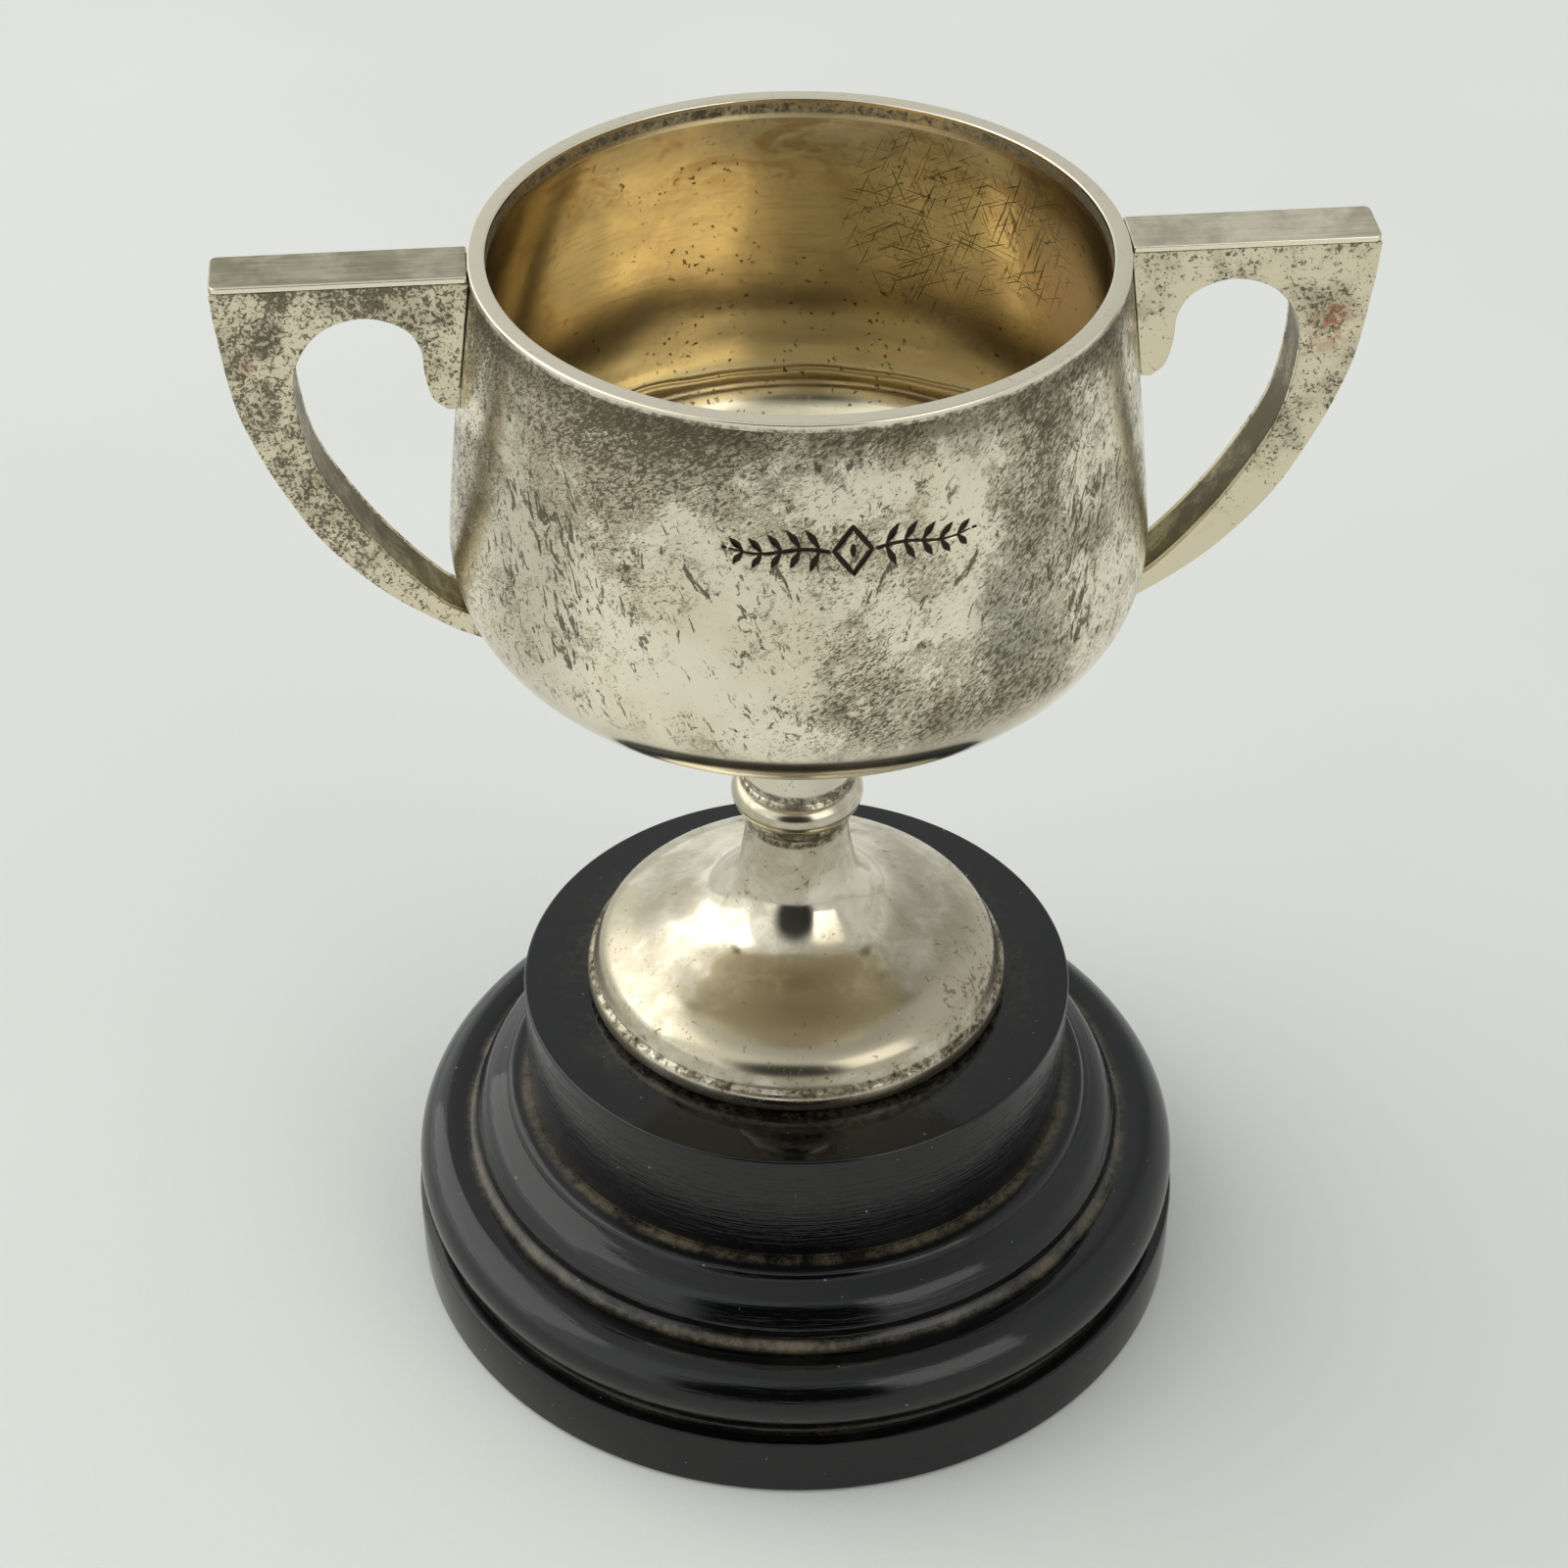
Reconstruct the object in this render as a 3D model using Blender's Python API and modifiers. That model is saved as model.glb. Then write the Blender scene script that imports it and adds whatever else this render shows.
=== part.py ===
"""Two-handled silver cup trophy on a turned, ebonised wooden plinth.

Metres, +Z up. The origin is the middle of the plinth's underside, the handles lie along X,
and the engraved front of the cup faces -Y.
"""
import math

import bmesh
import bpy
from mathutils import Vector

MM = 0.001
GAP = 0.3                     # clearance between pieces that touch, in millimetres

# Driving dimensions, in millimetres
PLINTH_RADIUS = 50.8          # a 4 inch plinth
PLINTH_UNDERSIDE = 0.3        # the wooden rim stands just clear of the table
PLINTH_STEP_TOP = 26.2        # top of the moulded base, under the drum
DRUM_RADIUS = 35.25
DRUM_TOP = 42.87
FOOT_RADIUS = 27.0
FOOT_SEAT = 43.2              # underside of the silver foot
NECK_TOP = 69.4
KNOP_RADIUS = 8.2
KNOP_HALF = 2.35              # half the height of the bead on the stem
KNOP_CENTRE = 73.2
KNOP_BORE = 5.4               # the bead closes in a little under the stem
STEM_RADIUS = 6.75
BOWL_RADIUS = 40.5            # widest part of the bowl
BOWL_SEAM = 107.0             # height of the edge where the wall meets the dished bottom
BOWL_FLOOR = 92.9             # underside of the dished bottom at its centre
RIM_RADIUS = 36.5
RIM_TOP = 149.5
SHEET = 0.8                   # gauge of the silver sheet
HANDLE_REACH = 64.4           # outer tip of a handle from the cup's axis
HANDLE_TOP = 149.3
HANDLE_WIDTH = 7.0            # a handle's size from front to back

STUD_RADIUS = 2.3
STUD_END = 5.5
HOLE_RADIUS = 2.8
SPIGOT_RADIUS = 14.0
SPIGOT_END = 19.0
NUT_RECESS_RADIUS = 12.0
NUT_RECESS_TOP = 13.0
NUT_ACROSS_FLATS = 8.0
NUT_HEIGHT = 4.0
WASHER_RADIUS = 8.0
WASHER_HEIGHT = 1.2
BAIZE_RADIUS = 49.0
BAIZE_THICKNESS = 0.6

ROUND_STEPS = 40              # facets round the large turned pieces
SMALL_STEPS = 24              # facets round the stem and the fixings

SILVER = ((0.62, 0.59, 0.52), 0.28, 1.0)
MOTTLED_SILVER = ((0.50, 0.47, 0.41), 0.42, 1.0)
GILT_SILVER = ((0.66, 0.50, 0.26), 0.30, 1.0)
BRASS = ((0.72, 0.55, 0.26), 0.35, 1.0)
STEEL = ((0.55, 0.55, 0.56), 0.40, 1.0)
EBONISED = ((0.012, 0.011, 0.011), 0.22, 0.0)
BAIZE = ((0.02, 0.10, 0.05), 0.95, 0.0)


def clear_scene():
    for item in list(bpy.data.objects):
        bpy.data.objects.remove(item, do_unlink=True)


def new_collection(name):
    collection = bpy.data.collections.new(name)
    bpy.context.scene.collection.children.link(collection)
    return collection


def material(name, look):
    colour, roughness, metallic = look
    made = bpy.data.materials.new(name)
    made.use_nodes = True
    shader = made.node_tree.nodes["Principled BSDF"]
    shader.inputs["Base Color"].default_value = (*colour, 1.0)
    shader.inputs["Roughness"].default_value = roughness
    shader.inputs["Metallic"].default_value = metallic
    return made


def add_object(name, data, look, parent):
    item = bpy.data.objects.new(name, data)
    TROPHY.objects.link(item)
    item.data.materials.append(material(name, look))
    item.parent = parent
    item.matrix_parent_inverse = parent.matrix_world.inverted()
    return item


def add_empty(name, height):
    """The pivot of one moving group, on the trophy's axis."""
    empty = bpy.data.objects.new(name, None)
    TROPHY.objects.link(empty)
    empty.location = (0, 0, height * MM)
    bpy.context.view_layer.update()
    return empty


def smooth_line(points, pieces):
    """Catmull-Rom curve through the points, with this many pieces between each pair."""
    knots = [Vector(p) for p in points]
    before = knots[0] * 2 - knots[1]
    after = knots[-1] * 2 - knots[-2]
    knots = [before] + knots + [after]
    line = []
    for a, b, c, d in zip(knots, knots[1:], knots[2:], knots[3:]):
        for i in range(pieces):
            t = i / pieces
            line.append(0.5 * (2 * b + (c - a) * t + (2 * a - 5 * b + 4 * c - d) * t ** 2
                               + (3 * b - a - 3 * c + d) * t ** 3))
    line.append(knots[-2])
    return [tuple(p) for p in line]


def arc(centre, radius, start, end, pieces):
    """Points of a circular arc, with its angles in degrees."""
    line = []
    for i in range(pieces + 1):
        angle = math.radians(start + (end - start) * i / pieces)
        line.append((centre[0] + radius * math.cos(angle), centre[1] + radius * math.sin(angle)))
    return line


def turned(name, profile, look, parent, steps=ROUND_STEPS, closed=True, sheet=None):
    """Piece turned about the trophy's axis.

    The profile lists (radius, height) in millimetres, down the outer side. A closed profile is
    the whole section; an open one is the outer face of sheet metal, given its gauge by Solidify.
    """
    mesh = bpy.data.meshes.new(name)
    drop = parent.location.z / MM
    points = [(r * MM, 0, (z - drop) * MM) for r, z in profile]
    edges = [(i, i + 1) for i in range(len(points) - 1)]
    if closed:
        edges.append((len(points) - 1, 0))
    mesh.from_pydata(points, edges, [])
    item = add_object(name, mesh, look, parent)
    item.location = parent.location
    screw = item.modifiers.new("turning", "SCREW")
    screw.axis = "Z"
    screw.angle = math.tau
    screw.steps = steps
    screw.render_steps = steps
    screw.use_merge_vertices = True
    screw.merge_threshold = 0.00001
    screw.use_smooth_shade = True
    if sheet:
        shell = item.modifiers.new("sheet", "SOLIDIFY")
        shell.thickness = sheet * MM
        shell.offset = -1
        shell.use_even_offset = True
    return item


def flat_piece(name, outlines, thickness, y_middle, look, parent, turn=0.0):
    """Flat plate standing in the XZ plane; extra outlines are holes. A turn of pi mirrors it."""
    curve = bpy.data.curves.new(name, "CURVE")
    curve.dimensions = "2D"
    curve.fill_mode = "BOTH"
    curve.extrude = thickness / 2 * MM
    for outline in outlines:
        spline = curve.splines.new("POLY")
        spline.points.add(len(outline) - 1)
        for point, (x, z) in zip(spline.points, outline):
            point.co = (x * MM, z * MM, 0, 1)
        spline.use_cyclic_u = True
    item = add_object(name, curve, look, parent)
    item.rotation_euler = (math.pi / 2, 0, turn)
    item.location = (0, y_middle * MM * math.cos(turn), 0)
    return item


def ribbon(line, thickness):
    """Closed outline of a strip: the line, and the line moved sideways to its left."""
    knots = [Vector(p) for p in line]
    moved = []
    for i, knot in enumerate(knots):
        run = knots[min(i + 1, len(knots) - 1)] - knots[max(i - 1, 0)]
        moved.append(knot + Vector((-run.y, run.x)).normalized() * thickness)
    return [tuple(p) for p in knots + moved[::-1]]


def bowl_profile():
    """Outer face of the bowl's wall, from under the rim down to the seam."""
    return smooth_line([
        (36.4, RIM_TOP - 0.9),
        (37.4, 141.2),
        (39.0, 128.5),
        (40.2, 117.2),
        (BOWL_RADIUS, 113.2),
        (40.05, 109.8),
        (38.95, BOWL_SEAM),
    ], 2)


def bowl_radius_at(height):
    """Radius of the bowl's wall at a height, for the handles' ends."""
    profile = bowl_profile()
    for (r0, z0), (r1, z1) in zip(profile, profile[1:]):
        if z1 <= height <= z0:
            return r0 + (r1 - r0) * (z0 - height) / (z0 - z1)
    return profile[-1][0]


def make_bowl(cup):
    turned("bowl_wall", bowl_profile(), SILVER, cup, closed=False, sheet=SHEET)
    dish = smooth_line([
        (38.75, BOWL_SEAM - 0.35),
        (37.0, 104.2),
        (33.6, 101.3),
        (27.0, 98.3),
        (14.0, 94.3),
        (0.0, BOWL_FLOOR),
    ], 2)
    turned("bowl_bottom", dish, GILT_SILVER, cup, closed=False, sheet=SHEET)
    rim_inside = RIM_RADIUS - 2.0
    turned("rim_wire", [
        (rim_inside + 0.15, RIM_TOP),
        (RIM_RADIUS - 0.2, RIM_TOP),
        (RIM_RADIUS, RIM_TOP - 0.2),
        (RIM_RADIUS - 0.1, RIM_TOP - 0.6),
        (rim_inside + 0.7, RIM_TOP - 0.6),
        (rim_inside + 0.7, RIM_TOP - 2.7),
        (rim_inside, RIM_TOP - 2.7),
        (rim_inside, RIM_TOP - 0.15),
    ], SILVER, cup)


def make_stem(cup):
    stem_foot = KNOP_CENTRE + KNOP_HALF + GAP
    turned("stem_tube", [
        (STEM_RADIUS, BOWL_FLOOR - GAP),
        (STEM_RADIUS, stem_foot),
        (STEM_RADIUS - SHEET, stem_foot),
        (STEM_RADIUS - SHEET, BOWL_FLOOR - GAP),
    ], SILVER, cup, SMALL_STEPS)
    bead = arc((KNOP_RADIUS - KNOP_HALF, KNOP_CENTRE), KNOP_HALF, 90, -90, 8)
    turned("knop", bead + [
        (KNOP_BORE, KNOP_CENTRE - KNOP_HALF),
        (KNOP_BORE, KNOP_CENTRE + KNOP_HALF),
    ], SILVER, cup, SMALL_STEPS)
    ring_top = KNOP_CENTRE - KNOP_HALF - GAP
    ring_foot = NECK_TOP + GAP
    middle = (ring_top + ring_foot) / 2
    turned("neck_ring", [
        (6.3, ring_top),
        (6.6, middle),
        (6.3, ring_foot),
        (KNOP_BORE, ring_foot),
        (KNOP_BORE, ring_top),
    ], SILVER, cup, SMALL_STEPS)


def make_foot(cup):
    """Trumpet-shaped foot, spun from sheet, with a bead round its edge."""
    trumpet = smooth_line([
        (6.25, NECK_TOP),
        (6.8, 64.8),
        (8.2, 59.6),
        (11.5, 55.4),
        (16.5, 53.2),
        (21.5, 51.4),
        (24.8, 49.2),
        (26.15, 46.4),
    ], 2)
    turned("foot", trumpet, SILVER, cup, closed=False, sheet=SHEET)
    bead_top = 46.0
    bead_bore = 24.8
    bead = smooth_line([
        (26.3, bead_top),
        (FOOT_RADIUS, 44.6),
        (26.3, FOOT_SEAT),
    ], 3)
    turned("foot_rim", bead + [(bead_bore, FOOT_SEAT), (bead_bore, bead_top)], SILVER, cup)


def handle_lines():
    """Outer edge, and edge of the finger opening, of the right-hand handle in the XZ plane."""
    outer = [(HANDLE_REACH, HANDLE_TOP - SHEET - GAP)] + smooth_line([
        (64.2, 144.8),
        (63.1, 135.5),
        (61.4, 129.3),
        (58.5, 122.4),
        (54.4, 115.2),
        (48.0, 108.1),
        (40.6, 102.7),
        (35.4, 100.2),
    ], 2)
    opening = smooth_line([
        (39.1, 104.7),
        (41.7, 106.4),
        (46.3, 111.6),
        (50.8, 118.1),
        (54.9, 126.2),
        (56.3, 134.6),
        (55.6, 139.6),
        (52.6, 143.4),
        (48.0, 144.7),
        (43.9, 143.3),
        (42.1, 140.6),
        (41.8, 137.2),
        (41.1, 134.2),
        (39.6, 132.7),
    ], 2)
    return outer, opening


def lug_side(start, end, pieces):
    """Edge of a handle's top where it meets the bowl, from one height to the other."""
    line = []
    for i in range(pieces + 1):
        height = start + (end - start) * i / pieces
        line.append((bowl_radius_at(height) + GAP, height))
    return line


def make_handle(side, turn, cup):
    """Box-section handle: two side plates, a top strip, and a strip inside each curved edge."""
    outer, opening = handle_lines()
    plate_top = HANDLE_TOP - SHEET - GAP
    plate_middle = (HANDLE_WIDTH - SHEET) / 2
    strip_width = HANDLE_WIDTH - 2 * (SHEET + GAP)
    lug = lug_side(opening[-1][1], plate_top, 3)
    arm_end = [(35.2, 102.0), (37.3, 103.8)]      # follows the underside of the bowl
    plate = outer + arm_end + opening + lug
    front = -1 if turn == 0 else 1
    for face, y_middle in (("front", front * plate_middle), ("back", -front * plate_middle)):
        flat_piece(f"{side}_handle_{face}_plate", [plate], SHEET, y_middle,
                   MOTTLED_SILVER, cup, turn)
    top_start = RIM_RADIUS + GAP + 0.1
    top = [
        (top_start, HANDLE_TOP - SHEET),
        (HANDLE_REACH, HANDLE_TOP - SHEET),
        (HANDLE_REACH, HANDLE_TOP - 0.3),
        (HANDLE_REACH - 0.3, HANDLE_TOP),
        (top_start, HANDLE_TOP),
    ]
    flat_piece(f"{side}_handle_top_strip", [top], HANDLE_WIDTH, 0, MOTTLED_SILVER, cup, turn)
    flat_piece(f"{side}_handle_outer_strip", [ribbon(outer, -SHEET)], strip_width, 0,
               MOTTLED_SILVER, cup, turn)
    flat_piece(f"{side}_handle_inner_strip", [ribbon(opening, -SHEET)], strip_width, 0,
               MOTTLED_SILVER, cup, turn)


def make_fixing(cup, washer_body, nut_body):
    """Brass bridge and stud in the foot, with the washer and nut below the plinth."""
    bridge_z = FOOT_SEAT + 0.4
    bridge_height = 1.5
    bridge_length = 46.0
    bridge_width = 10.0
    corner = bridge_width / 2
    straight = bridge_length / 2 - corner
    outline = arc((straight, 0), corner, -90, 90, 8) + arc((-straight, 0), corner, 90, 270, 8)
    hole = arc((0, 0), STUD_RADIUS + GAP, 0, 337.5, 15)
    bridge = flat_piece("foot_bridge", [outline, hole], bridge_height, 0, BRASS, cup)
    bridge.rotation_euler = (0, 0, 0)
    bridge.location = (0, 0, (bridge_z + bridge_height / 2) * MM)
    head_base = bridge_z + bridge_height + GAP
    turned("fixing_stud", [
        (0, head_base + 1.5),
        (4.6, head_base + 1.5),
        (5.0, head_base + 1.1),
        (5.0, head_base),
        (STUD_RADIUS, head_base),
        (STUD_RADIUS, STUD_END + 0.5),
        (STUD_RADIUS - 0.5, STUD_END),
        (0, STUD_END),
    ], BRASS, cup, SMALL_STEPS, closed=False)
    bore = STUD_RADIUS + GAP
    washer_top = NUT_RECESS_TOP - GAP
    turned("washer", [
        (WASHER_RADIUS, washer_top),
        (WASHER_RADIUS, washer_top - WASHER_HEIGHT),
        (bore, washer_top - WASHER_HEIGHT),
        (bore, washer_top),
    ], STEEL, washer_body, SMALL_STEPS)
    make_nut(nut_body, washer_top - WASHER_HEIGHT - GAP, bore)


def make_nut(nut_body, nut_top, bore):
    """Hexagon nut with chamfered corners, its bore cut through."""
    mesh = bpy.data.meshes.new("nut")
    shape = bmesh.new()
    bmesh.ops.create_cone(shape, cap_ends=True, segments=6, depth=NUT_HEIGHT * MM,
                          radius1=NUT_ACROSS_FLATS / math.sqrt(3) * MM,
                          radius2=NUT_ACROSS_FLATS / math.sqrt(3) * MM)
    shape.to_mesh(mesh)
    shape.free()
    nut = add_object("nut", mesh, STEEL, nut_body)
    nut.location = (0, 0, (nut_top - NUT_HEIGHT / 2) * MM)
    chamfer = nut.modifiers.new("chamfer", "BEVEL")
    chamfer.width = 0.35 * MM
    chamfer.segments = 1
    hole_mesh = bpy.data.meshes.new("nut_bore")
    hole = bmesh.new()
    bmesh.ops.create_cone(hole, cap_ends=True, segments=SMALL_STEPS, depth=3 * NUT_HEIGHT * MM,
                          radius1=bore * MM, radius2=bore * MM)
    hole.to_mesh(hole_mesh)
    hole.free()
    cutter = bpy.data.objects.new("nut_bore", hole_mesh)
    CUTTERS.objects.link(cutter)
    cutter.location = nut.location
    cutter.hide_render = True
    cutter.display_type = "WIRE"
    cut = nut.modifiers.new("bore", "BOOLEAN")
    cut.operation = "DIFFERENCE"
    cut.solver = "EXACT"
    cut.object = cutter


def make_plinth(plinth):
    """Drum on a moulded base, glued by a spigot, with baize let into its underside."""
    drum_foot = PLINTH_STEP_TOP + GAP
    turned("plinth_drum", [
        (DRUM_RADIUS - 0.5, DRUM_TOP),
        (DRUM_RADIUS, DRUM_TOP - 0.4),
        (DRUM_RADIUS, drum_foot),
        (SPIGOT_RADIUS, drum_foot),
        (SPIGOT_RADIUS, SPIGOT_END),
        (HOLE_RADIUS, SPIGOT_END),
        (HOLE_RADIUS, DRUM_TOP),
    ], EBONISED, plinth)
    socket = SPIGOT_RADIUS + GAP
    fillet = arc((37.4, PLINTH_STEP_TOP - 0.7), 0.7, 90, 0, 2)
    slope = smooth_line([
        (38.6, 24.9),
        (40.9, 23.4),
        (42.4, 20.9),
    ], 2)
    cove = [(42.5, 19.6), (43.4, 18.6), (44.6, 18.7)]
    torus = arc((45.4, 14.0), 5.0, 80, -45, 8)
    groove = [(48.6, 9.9), (48.6, 9.2)]
    fascia = [(PLINTH_RADIUS - 0.4, 8.9), (PLINTH_RADIUS, 8.5), (PLINTH_RADIUS, PLINTH_UNDERSIDE)]
    turned("plinth_base", fillet + slope + cove + torus + groove + fascia + [
        (BAIZE_RADIUS + GAP, PLINTH_UNDERSIDE),
        (BAIZE_RADIUS + GAP, BAIZE_THICKNESS + GAP),
        (NUT_RECESS_RADIUS, BAIZE_THICKNESS + GAP),
        (NUT_RECESS_RADIUS, NUT_RECESS_TOP),
        (HOLE_RADIUS, NUT_RECESS_TOP),
        (HOLE_RADIUS, SPIGOT_END - GAP),
        (socket, SPIGOT_END - GAP),
        (socket, PLINTH_STEP_TOP),
    ], EBONISED, plinth)
    turned("baize_disc", [
        (BAIZE_RADIUS, BAIZE_THICKNESS),
        (BAIZE_RADIUS, 0),
        (NUT_RECESS_RADIUS + 1, 0),
        (NUT_RECESS_RADIUS + 1, BAIZE_THICKNESS),
    ], BAIZE, plinth)


clear_scene()
TROPHY = new_collection("cup_trophy")
CUTTERS = new_collection("cutters")
plinth_body = add_empty("plinth_group", 0)
cup_body = add_empty("cup_group", 0)
nut_height = NUT_RECESS_TOP - WASHER_HEIGHT - 2 * GAP - NUT_HEIGHT / 2
washer_group = add_empty("washer_group", 0)
nut_group = add_empty("nut_group", nut_height)

make_plinth(plinth_body)
make_foot(cup_body)
make_stem(cup_body)
make_bowl(cup_body)
make_handle("right", 0.0, cup_body)
make_handle("left", math.pi, cup_body)
make_fixing(cup_body, washer_group, nut_group)
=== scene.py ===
"""Looks of the two-handled silver cup trophy: fine meshes, aged metal, lacquer, light and camera.

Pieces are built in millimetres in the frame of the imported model: the handles lie along X and the
engraved front of the cup faces -Y.
"""
import math

import bmesh
import bpy
import numpy as np
from mathutils import Matrix, Vector, noise


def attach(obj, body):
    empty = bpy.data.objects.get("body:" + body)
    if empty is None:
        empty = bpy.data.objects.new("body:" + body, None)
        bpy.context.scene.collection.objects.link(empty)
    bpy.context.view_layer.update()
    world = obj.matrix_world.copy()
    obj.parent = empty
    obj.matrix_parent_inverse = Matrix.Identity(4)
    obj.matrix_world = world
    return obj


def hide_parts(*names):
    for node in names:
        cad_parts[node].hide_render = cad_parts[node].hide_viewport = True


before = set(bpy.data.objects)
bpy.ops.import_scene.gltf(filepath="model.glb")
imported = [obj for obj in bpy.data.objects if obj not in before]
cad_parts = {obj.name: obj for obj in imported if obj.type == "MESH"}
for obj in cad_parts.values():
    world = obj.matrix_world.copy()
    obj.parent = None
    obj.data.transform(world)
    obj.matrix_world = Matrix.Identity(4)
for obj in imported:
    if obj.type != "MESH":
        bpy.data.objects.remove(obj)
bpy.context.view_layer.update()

MM = 0.001
WALL_RADIUS = 39.0            # of the bowl's wall on the whole, in millimetres


# ---- outlines, in millimetres

def smooth_line(points, pieces):
    """Catmull-Rom curve through the points, with this many pieces between each pair."""
    knots = [Vector(p) for p in points]
    before = knots[0] * 2 - knots[1]
    after = knots[-1] * 2 - knots[-2]
    knots = [before] + knots + [after]
    line = []
    for a, b, c, d in zip(knots, knots[1:], knots[2:], knots[3:]):
        for i in range(pieces):
            t = i / pieces
            line.append(0.5 * (2 * b + (c - a) * t + (2 * a - 5 * b + 4 * c - d) * t ** 2
                               + (3 * b - a - 3 * c + d) * t ** 3))
    line.append(knots[-2])
    return [tuple(p) for p in line]


def arc(centre, radius, start, end, pieces):
    """Points of a circular arc, with its angles in degrees."""
    line = []
    for i in range(pieces + 1):
        angle = math.radians(start + (end - start) * i / pieces)
        line.append((centre[0] + radius * math.cos(angle), centre[1] + radius * math.sin(angle)))
    return line


def softened(outline, radius, pieces=4, least=25):
    """A closed outline with each corner sharper than `least` degrees rounded off."""
    result = []
    count = len(outline)
    for i in range(count):
        before = Vector(outline[i - 1])
        here = Vector(outline[i])
        after = Vector(outline[(i + 1) % count])
        back = before - here
        ahead = after - here
        if min(back.length, ahead.length) < 1e-6:
            continue
        bend = 180 - math.degrees(back.angle(ahead))
        on_axis = here.x < 1e-6
        if bend < least or on_axis:
            result.append(tuple(here))
            continue
        reach = min(radius, 0.45 * back.length, 0.45 * ahead.length)
        start = here + back.normalized() * reach
        end = here + ahead.normalized() * reach
        for k in range(pieces + 1):
            t = k / pieces
            result.append(tuple(start * (1 - t) ** 2 + here * 2 * t * (1 - t) + end * t ** 2))
    return result


def moved_line(line, distance):
    """The line moved sideways to its left."""
    knots = [Vector(p) for p in line]
    moved = []
    for i, knot in enumerate(knots):
        run = knots[min(i + 1, len(knots) - 1)] - knots[max(i - 1, 0)]
        moved.append(tuple(knot + Vector((-run.y, run.x)).normalized() * distance))
    return moved


def respaced(line, heights):
    """Points of a falling (radius, height) line at the given heights."""
    r = np.array([p[0] for p in line])
    z = np.array([p[1] for p in line])
    order = np.argsort(z)
    return [(float(np.interp(h, z[order], r[order])), float(h)) for h in heights]


# ---- meshes

def add_piece(name, vertices, faces, materials, body, stands_for, sharp=32):
    """One smooth-shaded piece that moves with a body; its vertices are in millimetres.

    Edges sharper than `sharp` degrees stay crisp.
    """
    mesh = bpy.data.meshes.new(name)
    mesh.from_pydata([tuple(v) for v in np.asarray(vertices, float) * MM], [], faces)
    shape = bmesh.new()
    shape.from_mesh(mesh)
    bmesh.ops.remove_doubles(shape, verts=shape.verts, dist=2e-6)
    bmesh.ops.recalc_face_normals(shape, faces=shape.faces)
    shape.to_mesh(mesh)
    shape.free()
    piece = bpy.data.objects.new(name, mesh)
    bpy.context.scene.collection.objects.link(piece)
    for item in materials:
        mesh.materials.append(item)
    mesh.shade_smooth()
    mesh.set_sharp_from_angle(angle=math.radians(sharp))
    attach(piece, body)
    if stands_for:
        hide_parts(*stands_for)
    return piece


def ring_faces(columns, section):
    """Quads round a closed (radius, height) section repeated in columns, open along the axis."""
    count = len(section)
    faces = []
    for i in range(columns):
        j = (i + 1) % columns
        for k in range(count):
            m = (k + 1) % count
            if section[k][0] < 1e-6 and section[m][0] < 1e-6:
                continue
            faces.append((i * count + k, j * count + k, j * count + m, i * count + m))
    return faces


def turned(name, profile, material, body, stands_for, steps, wobble=0.0):
    """Piece turned about the trophy's axis from a closed (radius, height) section.

    It is out of round by about `wobble` mm.
    """
    section = np.array(profile, float)
    angles = np.arange(steps) / steps * math.tau
    r = section[:, 0][None, :] * np.ones((steps, 1))
    if wobble:
        swing = wobble * (np.sin(2 * angles + 0.7) + 0.5 * np.sin(5 * angles + 2.0))
        r = np.where(r > 1, r + swing[:, None], r)
    x = r * np.sin(angles)[:, None]
    y = -r * np.cos(angles)[:, None]
    z = section[:, 1][None, :] * np.ones((steps, 1))
    vertices = np.stack([x, y, z], -1).reshape(-1, 3)
    faces = ring_faces(steps, section)
    return add_piece(name, vertices, faces, [material], body, stands_for)


def soften_edges(piece, width, segments=3, least=40, harden=True):
    """Rounds off, `width` mm wide, the edges that are sharper than `least` degrees."""
    soft = piece.modifiers.new("soft_edges", "BEVEL")
    soft.width = width * MM
    soft.segments = segments
    soft.limit_method = "ANGLE"
    soft.angle_limit = math.radians(least)
    soft.harden_normals = harden


def plate(name, outline, y_low, y_high, material, turn, stands_for, bevel):
    """Flat piece of a handle, standing in the XZ plane and then turned (radians) about Z."""
    count = len(outline)
    vertices = []
    for y in (y_low, y_high):
        vertices += [(x, y, z) for x, z in outline]
    faces = [tuple(range(count)), tuple(range(count, 2 * count))[::-1]]
    for i in range(count):
        j = (i + 1) % count
        faces.append((i, i + count, j + count, j))
    spin = Matrix.Rotation(turn, 3, "Z")
    vertices = [tuple(spin @ Vector(v)) for v in vertices]
    piece = add_piece(name, vertices, faces, [material], "cup", (stands_for,))
    soften_edges(piece, bevel)


# ---- node materials

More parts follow.
